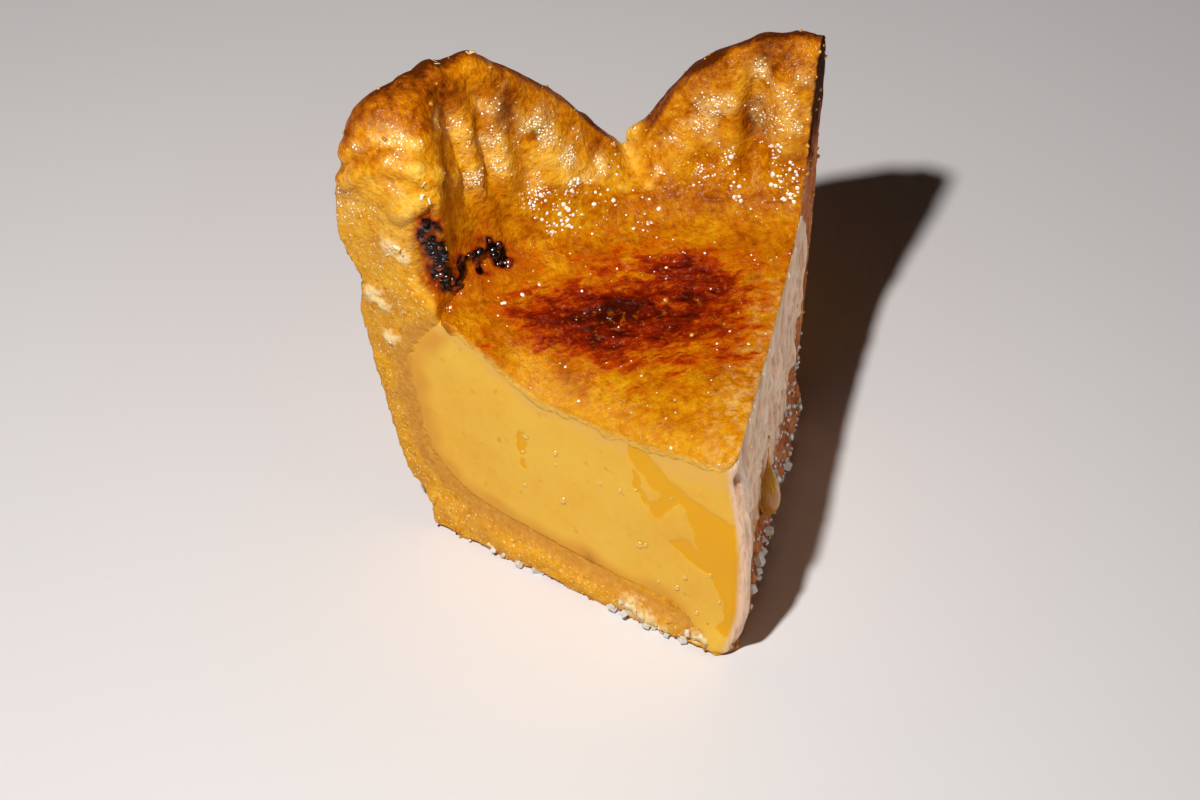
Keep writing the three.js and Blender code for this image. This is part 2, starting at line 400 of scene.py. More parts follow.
# %% The set
VIEW_AZIMUTH = math.radians(-22.78)
VIEW_ELEVATION = math.radians(46.77)
VIEW_DISTANCE = 464.2
VIEW_TARGET = np.array([-2.9, 36.9, 15.0])
LENS = 102.4
LAMP_SPOT = np.array([-141.0, -78.0, 346.0])
LAMP_AIM = np.array([0.0, 30.0, 25.0])
LAMP_SIZE = 18.0
LAMP_POWER = 1.5
SIDE_SPOT = np.array([300.0, -180.0, 130.0])
SIDE_SIZE = 240.0
SIDE_POWER = 0.48
BACK_SPOT = np.array([40.0, 420.0, 60.0])
BACK_SIZE = 260.0
BACK_POWER = 1.0
SURROUND = 0.014
SENSOR_WIDTH = 36.0
CLIP_START = 0.01
# The table's width in metres: its edge stays out of sight.
TABLE_WIDTH = 6.0


def in_frame(point):
    """A point of the pie frame as a vector in the shared frame, in metres."""
    return Vector((point + AXIS) * MM)


def aimed(obj, spot, target):
    """Puts a lamp or camera at `spot`, looking at `target`."""
    obj.location = in_frame(spot)
    obj.rotation_euler = (in_frame(target) - in_frame(spot)).to_track_quat("-Z", "Y").to_euler()
    bpy.context.scene.collection.objects.link(obj)


def make_camera():
    """A long lens, looking down on the slice."""
    back = np.array([
        math.sin(VIEW_AZIMUTH) * math.cos(VIEW_ELEVATION),
        -math.cos(VIEW_AZIMUTH) * math.cos(VIEW_ELEVATION),
        math.sin(VIEW_ELEVATION),
    ])
    data = bpy.data.cameras.new("camera")
    data.lens = LENS
    data.sensor_width = SENSOR_WIDTH
    data.clip_start = CLIP_START
    camera = bpy.data.objects.new("camera", data)
    aimed(camera, VIEW_TARGET + VIEW_DISTANCE * back, VIEW_TARGET)
    bpy.context.scene.camera = camera


def make_lamp(name, spot, size, power, receivers=None):
    """A round soft lamp; `receivers` names the only objects that it lights."""
    data = bpy.data.lights.new(name, "AREA")
    data.shape = "DISK"
    data.size = size * MM
    data.energy = power
    lamp = bpy.data.objects.new(name, data)
    aimed(lamp, spot, LAMP_AIM)
    if receivers is not None:
        lamp.light_linking.receiver_collection = receivers
        lamp.visible_glossy = False


def make_table():
    """A pale smooth table top, far larger than the slice."""
    material, tree = new_material("painted_table_top")
    tone = speckle(tree, 160.0, 2.0).into("ShaderNodeValToRGB", stops=((0.3, "#e2dcda"), (0.7, "#e6e1df")))
    set_surface(tree, Base_Color=tone, Roughness=0.75)
    half = TABLE_WIDTH / 2
    mesh = bpy.data.meshes.new("table_top")
    corners = [(-half, -half, 0), (half, -half, 0), (half, half, 0), (-half, half, 0)]
    mesh.from_pydata(corners, [], [(0, 1, 2, 3)])
    table = add_object("table_top", mesh)
    mesh.materials.append(material)


def make_surround():
    """Faint cool light from all round."""
    world = bpy.data.worlds.new("studio")
    world.use_nodes = True
    background = world.node_tree.nodes["Background"]
    background.inputs["Color"].default_value = colour("#e6e9f0")
    background.inputs["Strength"].default_value = SURROUND
    bpy.context.scene.world = world


make_camera()
slice_pieces = bpy.data.collections.new("slice_pieces")
make_lamp("key_lamp", LAMP_SPOT, LAMP_SIZE, LAMP_POWER)
make_lamp("side_panel", SIDE_SPOT, SIDE_SIZE, SIDE_POWER, slice_pieces)
make_lamp("back_panel", BACK_SPOT, BACK_SIZE, BACK_POWER, slice_pieces)
make_table()
make_surround()
bpy.context.scene.view_settings.view_transform = "Standard"
print("camera, table and lamps are in place")

# %% [markdown]
# ## The form of the pie as formulas
#
# Relief and colour follow the pie's own form: how near a point is to the top edge of the rim, or how far it
# lies under the glazed surface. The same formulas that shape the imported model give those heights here. With
# them stand the measuring tools that the pieces share: patches and strokes that fade out, the distance to
# another piece, and the shallow wave that the knife left.

# %% Rim and surface heights
LOBE_PITCH = 360 / 7
VALLEY_ANGLE = 8.5
VALLEY_HEIGHT = 41.2
LOBE_LEANS = (1.02, 0.84)
LOBE_FULLNESS = 0.8
LOBE_HEIGHT = 23.4
LOBE_HEIGHT_SWING = 6.0
FILLING_RADIUS = 44.4
DISH_HEIGHT = 37.2
DISH_RADIUS = 26.0
DISH_RISE_TO_TIP = 3.8
DISH_RISE_TO_RIM = 3.4
SAG_DEPTH = 3.6
SAG_WIDTH = 4.0
SAG_START_RADIUS = 41.0
SAG_FULL_RADIUS = 28.0
RIM_FOOT_HEIGHT = DISH_HEIGHT + DISH_RISE_TO_RIM
# Round the rim, one degree is about this many millimetres.
ARC_PER_DEGREE = 0.87


def crest_height(angle):
    """The height of the rim's top edge at an angle."""
    turns = (angle - VALLEY_ANGLE) / LOBE_PITCH
    lobe = np.floor(turns)
    lean = np.where(lobe % 2 == 0, LOBE_LEANS[0], LOBE_LEANS[1])
    rise = np.sin(np.pi * (turns - lobe) ** lean) ** LOBE_FULLNESS
    return VALLEY_HEIGHT + rise * (LOBE_HEIGHT - LOBE_HEIGHT_SWING * np.sin(np.radians(angle)))


def surface_height(place):
    """The height of the glazed surface over each point."""
    inner = DISH_RISE_TO_TIP * ((place.r - DISH_RADIUS) / DISH_RADIUS) ** 2
    outer = DISH_RISE_TO_RIM * ((place.r - DISH_RADIUS) / (FILLING_RADIUS - DISH_RADIUS)) ** 2
    inward = smooth(place.r, SAG_START_RADIUS, SAG_FULL_RADIUS)
    sag = SAG_DEPTH * inward * np.exp(-np.maximum(place.from_left, 0) / SAG_WIDTH)
    return DISH_HEIGHT + np.where(place.r < DISH_RADIUS, inner, outer) - sag


def spot(place, middle, reach):
    """1 at the point `middle`, falling to nothing `reach` mm away; `reach` may differ along x, y and z."""
    away = (place.p - np.asarray(middle, float)) / np.asarray(reach, float)
    return np.exp(-(away**2).sum(axis=1))


def rim_patch(place, angle, height, reach):
    """1 at a place on the rim's inner face, falling to nothing `reach` mm away."""
    return bell(place.angle * ARC_PER_DEGREE, angle * ARC_PER_DEGREE, reach) * bell(place.z, height, reach)


def pie_point(angle, radius, height):
    """The point at an angle in degrees, a radius and a height."""
    turn = math.radians(angle)
    return np.array([radius * math.sin(turn), radius * math.cos(turn), height])


def left_cut_point(along, height, out=0.0):
    """A point on the left cut, `out` mm outside it."""
    ahead = np.array([-math.sin(HALF_SLICE), math.cos(HALF_SLICE), 0.0])
    return along * ahead + out * LEFT_CUT + np.array([0.0, 0.0, height])


def right_cut_point(along, height, out=0.0):
    """A point on the right cut, `out` mm outside it."""
    ahead = np.array([math.sin(HALF_SLICE), math.cos(HALF_SLICE), 0.0])
    return along * ahead + out * RIGHT_CUT + np.array([0.0, 0.0, height])


def stroke(points, start, end, reach):
    """1 on the straight line between two points, falling evenly to 0 `reach` mm away."""
    start = np.asarray(start, float)
    along = np.asarray(end, float) - start
    t = np.clip((points - start) @ along / (along @ along), 0, 1)
    away = np.linalg.norm(points - start - t[:, None] * along, axis=1)
    return np.clip(1 - away / reach, 0, 1)


def search_tree(obj):
    """A tree that finds the nearest point of a piece, in the pie frame."""
    verts = [Vector(p) for p in read_points(obj)]
    return BVHTree.FromPolygons(verts, [tuple(face.vertices) for face in obj.data.polygons])


def distance_to(obj, points, wanted):
    """How far each wanted point is from another piece; the others get a large number."""
    tree = search_tree(obj)
    distance = np.full(len(points), 99.0)
    for k in np.nonzero(wanted)[0]:
        distance[k] = tree.find_nearest(Vector(points[k]))[3]
    return distance


def without(vectors, direction, share):
    """The vectors with `share` of their part along `direction` taken away."""
    return vectors - (share * (vectors @ direction))[:, None] * direction


def wobble(points, size, *seeds):
    """Three noises, to push points about in x, y and z so that what is drawn at them gets ragged edges."""
    return np.column_stack([noise(points, size, seed) for seed in seeds])


def knife_wave(points):
    """The shallow wave that the knife leaves, which runs on from the custard into the crust."""
    return 0.10 * noise(points, 7.0, 23)


# %% [markdown]
# ## Where the flame charred the rim
#
# A flame that licks the rim leaves short trails of black bubbled sugar. They run over the crust and the edge
# of the sheet alike, so both pieces ask the same function how charred a point is.

# %% Charred trails
# Start, end (angle, radius, height) and reach in mm.
CHAR_STROKES = (
    ((-33.9, 47.5, 52.0), (-34.1, 47.1, 54.7), 1.2),
    ((-33.9, 47.0, 55.0), (-31.4, 46.0, 53.5), 1.1),
    ((-32.2, 46.6, 49.8), (-31.6, 45.9, 46.6), 2.5),
    ((-31.6, 45.9, 46.6), (-30.7, 45.0, 43.7), 2.5),
    ((-30.8, 45.0, 43.4), (-28.2, 44.9, 42.0), 1.5),
    ((-28.2, 44.9, 42.0), (-26.8, 45.9, 44.4), 1.5),
    ((-26.3, 46.1, 44.8), (-23.1, 46.1, 43.0), 1.1),
    ((-23.1, 46.1, 43.0), (-23.7, 44.8, 41.3), 1.0),
    ((-23.1, 46.1, 43.0), (-20.6, 46.0, 43.2), 1.0),
    ((-20.3, 46.4, 43.9), (-18.4, 44.6, 40.6), 1.7),
)
BURN_REACH = 5.0


def char_share(points):
    """How charred each point is, with ragged edges, and how scorched the skin round it is."""
    ragged = points + 0.7 * wobble(points, 1.5, 51, 52, 53)
    char = np.zeros(len(points))
    burn = np.zeros(len(points))
    for start, end, reach in CHAR_STROKES:
        line = (pie_point(*start), pie_point(*end))
        char = np.maximum(char, stroke(ragged, *line, reach))
        burn = np.maximum(burn, stroke(ragged, *line, BURN_REACH))
    return char, burn


print("charred trails are drawn with", len(CHAR_STROKES), "strokes")

# %% [markdown]
# ## The crust's shape
#
# The rim was crimped by hand into tall lobes with pinched valleys between them, and the dough blistered and
# wrinkled in the oven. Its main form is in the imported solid. What is added here is the relief: thumb ridges
# and folds, blisters, grainy skin, flaky cut faces and a crumbly base. Sculpting would do it once, by hand; a
# rule for every kind of place does it the same way each time and covers the back as well. Each point is
# sorted first by the kind of surface it lies on.

# %% Kinds of crust surface
# Pale flaky places on the left cut: distance along the cut, height and reach.
FLAKY_PATCHES = (
    (51.4, 49.8, 1.9), (49.6, 48.4, 1.3), (47.8, 50.8, 1.1), (54.6, 39.6, 1.9), (53.0, 38.2, 1.1),
    (52.2, 32.8, 1.5), (14.2, 2.4, 2.2), (11.6, 1.8, 1.9), (9.6, 1.2, 1.2), (4.4, 2.0, 1.5),
    (2.6, 1.4, 1.1),
)


def crust_zones(place, normals):
    """How much each point belongs to each kind of crust surface.

    left, right and cut are the faces that the knife opened, inner and outer the two sides of the rim, under
    the base, foot the crumbled edge between base and cuts, and rim all that stands above the filling.
    """
    outward = (normals[:, 0] * place.x + normals[:, 1] * place.y) / np.maximum(place.r, 1)
    zones = {"outward": outward}
    zones["left"] = smooth(place.from_left, 1.1, 0.4) * smooth(normals @ LEFT_CUT, 0.35, 0.75)
    zones["right"] = smooth(place.from_right, 1.1, 0.4) * smooth(normals @ RIGHT_CUT, 0.35, 0.75)
    zones["cut"] = np.maximum(zones["left"], zones["right"])
    zones["under"] = smooth(place.z, 1.2, 0.3)
    zones["inner"] = smooth(place.z, 38.5, 41.0) * smooth(outward, 0.35, -0.15) * (1 - zones["cut"])
    zones["outer"] = smooth(outward, 0.1, 0.5) * (1 - zones["cut"])
    zones["foot"] = smooth(place.z, 6.5, 3.0) * smooth(
        np.minimum(place.from_left, place.from_right), 2.5, 0.4
    )
    zones["rim"] = smooth(place.z, 42.0, 47.0)
    char, burn = char_share(place.p)
    zones["char"] = char * smooth(place.r, 48.5, 47.5)
    zones["burn"] = burn * smooth(place.r, 50.0, 47.5)
    flaky = np.zeros(len(place.p))
    for along, height, reach in FLAKY_PATCHES:
        flaky = np.maximum(flaky, bell(place.along_left, along, reach) * bell(place.z, height, reach))
    zones["flaky"] = flaky * zones["left"]
    return zones


# %% Folds of the rim
# Folds and ridges that run up the rim: angle, half width in degrees, height, and where they start and end.
RIM_FOLDS = (
    (-23.9, 1.7, -0.5, 56, 66), (-21.6, 1.4, 0.2, 52, 64), (-19.2, 1.6, 0.5, 50, 61),
    (-16.4, 1.3, -0.5, 49, 60), (-13.6, 1.7, 0.6, 48, 60), (-9.6, 1.6, -0.5, 46, 57),
    (-4.8, 3.2, 0.6, 45, 56), (2.5, 1.8, 0.3, 43, 50), (15.2, 1.8, 0.45, 44, 51), (18.9, 1.6, 0.5, 46, 55),
    (21.4, 0.8, -0.4, 44, 53), (23.8, 1.8, 0.6, 48, 59), (27.3, 1.8, -0.7, 43, 55),
    (31.9, 2.2, 0.7, 46, 60),
)
# Small pits in the rim: angle and height.
RIM_PITS = ((2.5, 46.0), (11.0, 43.4), (18.4, 45.2), (-2.0, 54.5), (-27.0, 57.0))
PIT_DEPTH = 0.5
PIT_REACH = 0.9


def rim_folds(place):
    """Thumb ridges and folds on the inner face of the rim."""
    bent = place.angle + 0.5 * noise(place.p, 5.0, 16)
    around = np.column_stack((place.angle * ARC_PER_DEGREE, place.r, place.z))
    folds = 0.16 * noise(around, (3.0, 8.0, 8.0), 3)
    for angle, spread, height, low, high in RIM_FOLDS:
        folds += height * bell(bent, angle, spread) * smooth(place.z, low - 2, low + 2) * smooth(
            place.z, high + 1, high - 3
        )
    for angle, height in RIM_PITS:
        folds -= PIT_DEPTH * rim_patch(place, angle, height, PIT_REACH)
    return folds


# Ridges that run round the end of the left lobe: start, end (angle, radius, height).
EAR_RIDGES = (
    ((-32.6, 59.2, 60.4), (-31.0, 54.5, 62.8)), ((-31.0, 54.5, 62.8), (-29.6, 51.0, 63.4)),
    ((-34.6, 58.6, 56.8), (-33.2, 54.0, 60.4)), ((-33.2, 54.0, 60.4), (-31.4, 49.0, 61.6)),
    ((-31.4, 49.0, 61.6), (-28.0, 48.2, 59.4)), ((-34.9, 50.5, 55.6), (-32.6, 47.4, 57.6)),
)
EAR_RIDGE_REACH = 1.9
EAR_RIDGE_HEIGHT = 0.55


def ear_folds(points):
    """How near each point is to a ridge round the end of the left lobe."""
    bent = points + 0.6 * wobble(points, 4.0, 56, 57, 58)
    ridge = np.zeros(len(points))
    for start, end in EAR_RIDGES:
        ridge = np.maximum(ridge, stroke(bent, pie_point(*start), pie_point(*end), EAR_RIDGE_REACH))
    return ridge


# %% Rounding the crust
CRUST_SMOOTHING_ROUNDS = 18
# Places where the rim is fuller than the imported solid: angle, radius, height, reach and amount.
RIM_SWELLS = ((-29.6, 58.2, 64.0, 5.2, 2.2), (-35.0, 58.8, 58.0, 2.6, -0.6), (18.5, 56.0, 54.5, 5.5, 1.1))
# The end of the left lobe, the ear, is rounded over and a little fuller.
EAR_ROUNDING_ROUNDS = 30
EAR_SWELL = 1.0
# The inner corner of the left cut is worn round.
CORNER_ROUNDING_ROUNDS = 240
CORNER_WEAR = 1.6


def round_crust(crust):
    """Rounds the left lobe's end and the worn inner corner; returns the points and how near that end is."""
    points = evened(crust, read_points(crust), CRUST_SMOOTHING_ROUNDS)
    place = Place(points)
    ear_end = smooth(place.from_left, 6.0, 1.0) * smooth(place.z, 48.0, 55.0)
    points = softened(crust, points, ear_end, EAR_ROUNDING_ROUNDS)
    corner = smooth(place.from_left, 6.0, 2.0) * bell(place.r, 45.0, 3.2) * smooth(place.z, 41.0, 44.5)
    corner = np.maximum(
        corner, smooth(place.angle, -21.0, -25.0) * bell(place.r, 48.0, 3.5) * bell(place.z, 61.0, 5.0)
    )
    # Below the ear the inner face runs on to the rim without a crease.
    below_ear = smooth(place.angle, -17.5, -21.5) * smooth(place.r, 50.5, 48.5) * smooth(place.z, 41.8, 44.0)
    corner = np.maximum(corner, below_ear * smooth(place.z, 60.0, 55.0))
    points = softened(crust, points, corner, CORNER_ROUNDING_ROUNDS)
    toward_axis = -points * np.array([1.0, 1.0, 0.0]) / np.maximum(place.r, 1.0)[:, None]
    worn = smooth(place.from_left, 4.5, 0.5) * bell(place.r, 45.0, 3.0) * smooth(place.z, 41.5, 46.0)
    points -= (LEFT_CUT + toward_axis) * (0.7 * CORNER_WEAR * worn)[:, None]
    write_points(crust, points)
    normals = read_normals(crust)
    # The rim swells, but not across the plane of the left cut.
    swelling = without(normals, LEFT_CUT, smooth(place.from_left, 3.0, 0.5))
    swollen = swelling * (EAR_SWELL * ear_end)[:, None]
    points = points + swollen * smooth(normals[:, 2], -0.3, 0.3)[:, None]
    for angle, radius, height, reach, amount in RIM_SWELLS:
        near = spot(Place(points), pie_point(angle, radius, height), (reach, reach, reach))
        points = points + swelling * (amount * near)[:, None]
    write_points(crust, points)
    return points, ear_end


# %% Relief of the crust
# A bead of dough that stands on the rim.
DOUGH_BEAD = (9.6, 54.6, 44.6)
# A notch in the outline below the left lobe: its middle, reach and depth.
OUTLINE_NOTCH = ((-33.2, 46.6, 42.2), 3.2, 1.6)
# How far the edge of the cut runs on below the custard.
RUN_ON = 1.3


def shape_crust(crust, custard):
    """Gives each kind of crust surface its relief, and then its marks."""
    points, ear_end = round_crust(crust)
    normals = read_normals(crust)
    place = Place(points)
    zones = crust_zones(place, normals)
    crest = crest_height(place.angle)

    skin = 0.28 * noise(points, 8.0, 1) + 0.16 * noise(points, 3.6, 2)
    blistered = smooth(noise(points, 2.6, 4), 0.25, 0.8)
    skin += 0.30 * blistered * (0.3 + 0.7 * zones["rim"]) + 0.06 * noise(points, 1.1, 5)
    # Baking in a tin leaves the outside with shallow upright creases and broad blisters.
    around = np.column_stack((place.angle * ARC_PER_DEGREE, place.z, place.r))
    creases = 0.35 * ridges(around, (9.0, 34.0, 30.0), 71) - 0.22 * smooth(noise(points, 4.5, 72), 0.1, 0.7)
    skin -= zones["outer"] * creases
    inner = zones["inner"] * rim_folds(place)
    ear_ridge = ear_folds(points)
    inner += EAR_RIDGE_HEIGHT * smooth(ear_ridge, 0.0, 0.9) - 0.25 * smooth(ear_ridge, 0.5, 0.0) * ear_end
    from_cut = np.minimum(place.from_left, place.from_right)
    seam = distance_to(custard, points, (from_cut < 3.5) & (place.z < 41.0))
    seam_share = smooth(seam, 2.4, 0.3) * zones["cut"]
    flakes = 0.09 * rough(points, 3.0, 9) - 0.08 * smooth(noise(points, 1.9, 15), 0.5, 0.9) + 0.06
    cut_push = knife_wave(points) + flakes * (1 - seam_share)
    cut_push += 0.35 * smooth(zones["flaky"], 0.35, 0.8) * (0.6 + 0.6 * noise(points, 0.9, 17))

    push = (1 - zones["cut"]) * skin + inner + zones["cut"] * cut_push
    push += smooth(zones["char"], 0.25, 0.6) * (0.35 + 0.25 * noise(points, 1.3, 54))
    push += zones["foot"] * (0.30 * rough(points, 2.2, 11) + 0.1)
    push -= 0.9 * smooth(place.r, 9.0, 4.0)
    push *= 1 - 0.85 * zones["under"]
    moved = points + normals * push[:, None]
    moved += normals * (1.3 * spot(place, DOUGH_BEAD, (1.5, 1.6, 1.7)))[:, None]
    middle, reach, depth = OUTLINE_NOTCH
    moved -= normals * (depth * zones["outer"] * spot(place, middle, (reach, reach, 2.4)))[:, None]
    # Below the custard the cut edge runs on a little, so that no gap shows where the two meet.
    run_on = without(normals, LEFT_CUT, smooth(place.from_left, 3.5, 2.5))
    run_on = without(run_on, RIGHT_CUT, smooth(place.from_right, 3.5, 2.5))
    near_seam = RUN_ON * smooth(seam, 1.2, 0.4) * (1 - zones["cut"]) * smooth(from_cut, 3.4, 1.6)
    moved += run_on * near_seam[:, None]
    nub = 1.3 * bell(place.angle, -13.2, 2.6) + 0.8 * bell(place.angle, -19.8, 1.4)
    moved[:, 2] += nub * smooth(place.z, crest - 4.0, crest - 0.5)
    lifted = 0.6 * smooth(noise(points, (2.6, 2.6, 9.0), 18), -0.1, 0.6)
    lifted = lifted * zones["foot"] * smooth(place.z, 1.6, 0.2)
    moved[:, 2] = np.maximum(moved[:, 2] + lifted * (place.from_left < 0.9), 0.0)
    write_points(crust, moved)
    mark_crust(crust, place, zones, push, seam, ear_ridge)


# %% [markdown]
# ## Marks on the crust
#
# How brown, wet, grainy or torn the crust is follows its form: the top edge browns first, hollows hold syrup,
# and the knife lays pale crumb open. Some shares are painted light as well: bulges, ridges and patches of grain
# are paler for a painted highlight, and the folds, the hollow below the ear, the top edge and the right cut are
# darker for painted shade. So these shares are worked out from the same points and kept on the mesh, where the
# material and the small things can read them.

# %% Marks on the crust
# Where the rim's skin is rough with melted sugar and painted pale gold for a painted highlight: angle, height
# and reach.
SHEEN_AND_GRAIN_PATCHES = (
    (-19.9, 57.2, 1.9), (-20.1, 60.3, 1.2), (-19.0, 52.0, 1.7), (-13.8, 59.8, 1.4), (-14.6, 56.2, 1.9),
    (-14.4, 52.6, 1.9), (-10.4, 62.2, 0.9), (-7.6, 54.7, 2.3), (-5.8, 52.0, 2.6), (-5.6, 48.8, 2.6),
    (-2.4, 49.0, 2.4), (-8.1, 46.8, 1.8), (-3.6, 45.4, 1.7), (-0.4, 44.6, 1.5), (2.8, 45.4, 1.0),
    (-22.9, 63.0, 0.9), (-30.1, 64.2, 0.9), (-31.6, 63.6, 0.9), (-33.2, 62.6, 0.8), (-33.9, 58.8, 0.9),
    (-35.0, 57.0, 0.9), (27.4, 56.8, 1.6), (23.8, 53.8, 1.8), (20.6, 51.2, 2.4), (32.4, 55.6, 2.4),
    (33.2, 51.8, 2.2), (21.8, 46.4, 1.5), (18.4, 44.4, 1.2), (12.4, 43.8, 1.2), (15.0, 46.4, 1.2),
    (17.6, 49.5, 1.2),
)
# Browner specks and blushes on the rim, and painted shade in its folds and in the hollow below the ear: angle,
# height, reach, strength.
RIM_BLUSHES_AND_FOLD_SHADE = (
    (-15.4, 46.4, 2.8, 0.34), (-9.0, 60.0, 3.0, 0.2), (-4.0, 57.0, 2.4, 0.15), (-26.0, 65.0, 3.5, 0.25),
    (20.0, 57.5, 3.0, 0.3), (27.0, 60.5, 3.5, 0.3), (-6.4, 54.0, 1.5, 0.5), (-12.4, 58.2, 2.4, 0.25),
    (-20.0, 64.0, 3.0, 0.25), (3.5, 47.5, 1.4, 0.2), (-24.6, 58.5, 2.8, 0.24), (-26.8, 53.0, 3.2, 0.26),
    (-27.1, 47.8, 2.4, 0.22), (-17.2, 56.0, 2.0, 0.2), (-18.6, 51.2, 1.8, 0.2), (26.4, 49.5, 2.8, 0.25),
)
# Where syrup stands in drops, close together: angle, radius, height and reach.
BEAD_CLUSTERS = (
    (-5.7, 46.2, 42.9, 1.3), (-5.2, 45.2, 41.3, 1.2), (-8.8, 45.5, 41.7, 0.9), (-10.4, 47.8, 45.6, 1.1),
    (-7.7, 47.7, 45.9, 0.9), (-2.6, 47.3, 44.9, 1.1), (2.8, 44.4, 40.6, 1.1), (8.7, 41.4, 39.5, 1.1),
    (12.3, 44.0, 40.4, 0.9), (17.8, 44.2, 40.6, 0.9), (31.9, 46.3, 43.5, 1.1), (32.6, 45.8, 42.3, 1.0),
    (30.2, 48.1, 47.5, 0.8), (29.3, 41.5, 39.4, 1.1), (32.5, 43.8, 40.1, 1.1), (26.0, 42.2, 39.6, 1.0),
    (28.2, 36.4, 38.3, 0.8), (18.0, 36.7, 38.5, 0.7), (12.2, 38.0, 38.7, 0.8), (6.2, 41.1, 39.3, 0.9),
    (33.1, 47.0, 44.8, 0.9), (-24.2, 41.0, 39.2, 0.8), (-23.2, 44.0, 40.6, 0.9), (-31.9, 43.6, 40.5, 0.6),
    (-26.5, 29.2, 36.3, 0.6), (-45.8, 2.1, 36.4, 1.1), (9.7, 43.0, 39.9, 0.9),
)


def mark_crust(crust, place, zones, push, seam, ear_ridge):
    """Keeps what the crust's material and the small things read: how baked, wet, grainy or cut it is."""
    points = place.p
    crest = crest_height(place.angle)
    up_face = np.clip((place.z - RIM_FOOT_HEIGHT) / np.maximum(crest - RIM_FOOT_HEIGHT, 4), 0, 1.1)
    # The rim browns towards its top edge; the darker outline there is partly painted shade, where the crest
    # turns away from the lamp.
    top_edge = smooth(zones["outward"], -0.5, 0.25) * smooth(place.z, crest - 7.0, crest - 2.0)
    top_edge *= 1 - 0.55 * smooth(place.from_left, 20.0, 8.0)
    bake = 0.36 + 0.12 * rough(points, 7.0, 12) + 0.06 * noise(points, 2.5, 19)
    bake += 0.45 * top_edge * zones["rim"] * smooth(zones["outward"], 0.9, 0.3)
    bake += 0.14 * smooth(up_face, 0.45, 0.9) * zones["inner"]
    toward_edges = smooth(place.z, crest - 16.0, crest + 1.0) + 0.6 * smooth(place.z, 16.0, 3.0)
    bake += zones["outer"] * (0.10 + 0.26 * toward_edges) + zones["under"] * 0.1
    # The end of the left lobe stayed paler, on its cut and behind.
    ear_front = 0.14 * smooth(place.from_left, 7.0, 2.0) * smooth(place.z, 64.0, 59.0)
    bake -= ear_front * smooth(place.z, 40.0, 44.0)
    ear_back = 0.14 * zones["outer"] * smooth(place.from_left, 16.0, 6.0)
    bake -= ear_back * smooth(place.z, crest - 7.0, crest - 3.0)
    # On the rim's inner face the raised folds and the ridges round the ear are painted paler, a painted
    # highlight, and the hollows of the folds darker, painted shade.
    bake -= 0.14 * zones["inner"] * smooth(push, 0.3, 1.1) + 0.16 * smooth(ear_ridge, 0.2, 0.9)
    bake += 0.20 * zones["inner"] * smooth(push, -0.1, -0.8) - 0.35 * spot(place, DOUGH_BEAD, 3.0)
    for angle, height, reach, strength in RIM_BLUSHES_AND_FOLD_SHADE:
        bake += strength * rim_patch(place, angle, height, reach)
    grain_and_sheen = np.zeros(len(points))
    for angle, height, reach in SHEEN_AND_GRAIN_PATCHES:
        grain_and_sheen = np.maximum(grain_and_sheen, rim_patch(place, angle, height, reach))
    grain_and_sheen = np.maximum(grain_and_sheen, 0.5 * smooth(ear_ridge, 0.3, 0.9))
    broad = 0.5 * rim_patch(place, 25.0, 50.0, 6.0) * smooth(place.z, crest - 3.0, crest - 7.0)
    grain_and_sheen = np.maximum(grain_and_sheen, broad) * smooth(noise(points, 2.4, 59), -0.5, 0.3)
    keep(crust, "bake", np.clip(bake, 0, 1))
    lower = smooth(place.z + 5.0 * rough(points, 3.2, 20), 60.0, 48.0)
    keep(crust, "cut", np.maximum(zones["left"] * lower, zones["right"]))
    keep(crust, "seam", smooth(seam + 0.8 * noise(points, 3.0, 29), 3.6, 1.2) * zones["cut"])
    keep(crust, "flaky", zones["flaky"])
    grain_and_sheen *= (1 - zones["cut"]) * smooth(zones["outward"], 0.5, 0.0)
    grain_and_sheen += 0.35 * zones["left"] * smooth(place.z, 34.0, 46.0) * smooth(noise(points, 3.2, 75), 0.0, 0.5)
    keep(crust, "grain_and_sheen", grain_and_sheen)
    wet_edge = 0.33 + 0.12 * noise(points, 5.0, 13) + 0.05 * noise(points, 1.6, 55)
    # In the hollow below the ear the glaze is thinned, so that the painted shade there shows brown.
    hollow = rim_patch(place, -15.4, 46.4, 2.6)
    glaze = zones["inner"] * smooth(up_face, wet_edge + 0.07, wet_edge - 0.07)
    keep(crust, "glaze", glaze * (1 - 0.7 * hollow))
    keep(crust, "char", zones["char"])
    keep(crust, "burn", zones["burn"])
    # The right cut of the crust is painted darker, most towards the top of the rim: painted shade, since that
    # face is turned from the lamp. The layer noise breaks it into bands.
    layers = noise(points, (3.0, 3.0, 7.0), 73) + 0.5 * noise(points, (1.0, 1.0, 3.0), 74)
    right_cut_shade = 0.35 + 0.10 * layers + 0.5 * smooth(place.z + 2.5 * layers, 41.0, 50.0)
    keep(crust, "right_cut_shade", zones["right"] * np.clip(right_cut_shade, 0.2, 1.0))
    band = smooth(place.z, 47.5, 44.0) * zones["inner"] * smooth(place.angle, -24, -12)
    beads = 0.03 * band * smooth(noise(points, 3.0, 60), -0.3, 0.5)
    for angle, radius, height, reach in BEAD_CLUSTERS:
        near = spot(place, pie_point(angle, radius, height), reach)
        beads = np.maximum(beads, near * (zones["inner"] > 0.3))
    keep(crust, "beads", beads)


# %% Fine copies of custard and crust
CUSTARD_VOXEL = 0.36
CRUST_VOXEL = 0.415
custard = fine_copy("custard", "set_custard", CUSTARD_VOXEL)
crust = fine_copy("crust", "pie_crust", CRUST_VOXEL)
shape_crust(crust, custard)
print("crust points:", len(crust.data.vertices))

# %% [markdown]
# ## The custard's shape
#
# Set custard is an egg gel: dense, wet and a little see-through. The knife leaves it smooth on one face, but
# it peels a thin skin off in blotches, and it drags the other face into upright grooves. At the tip the soft
# custard has slid down over the edge of the base.

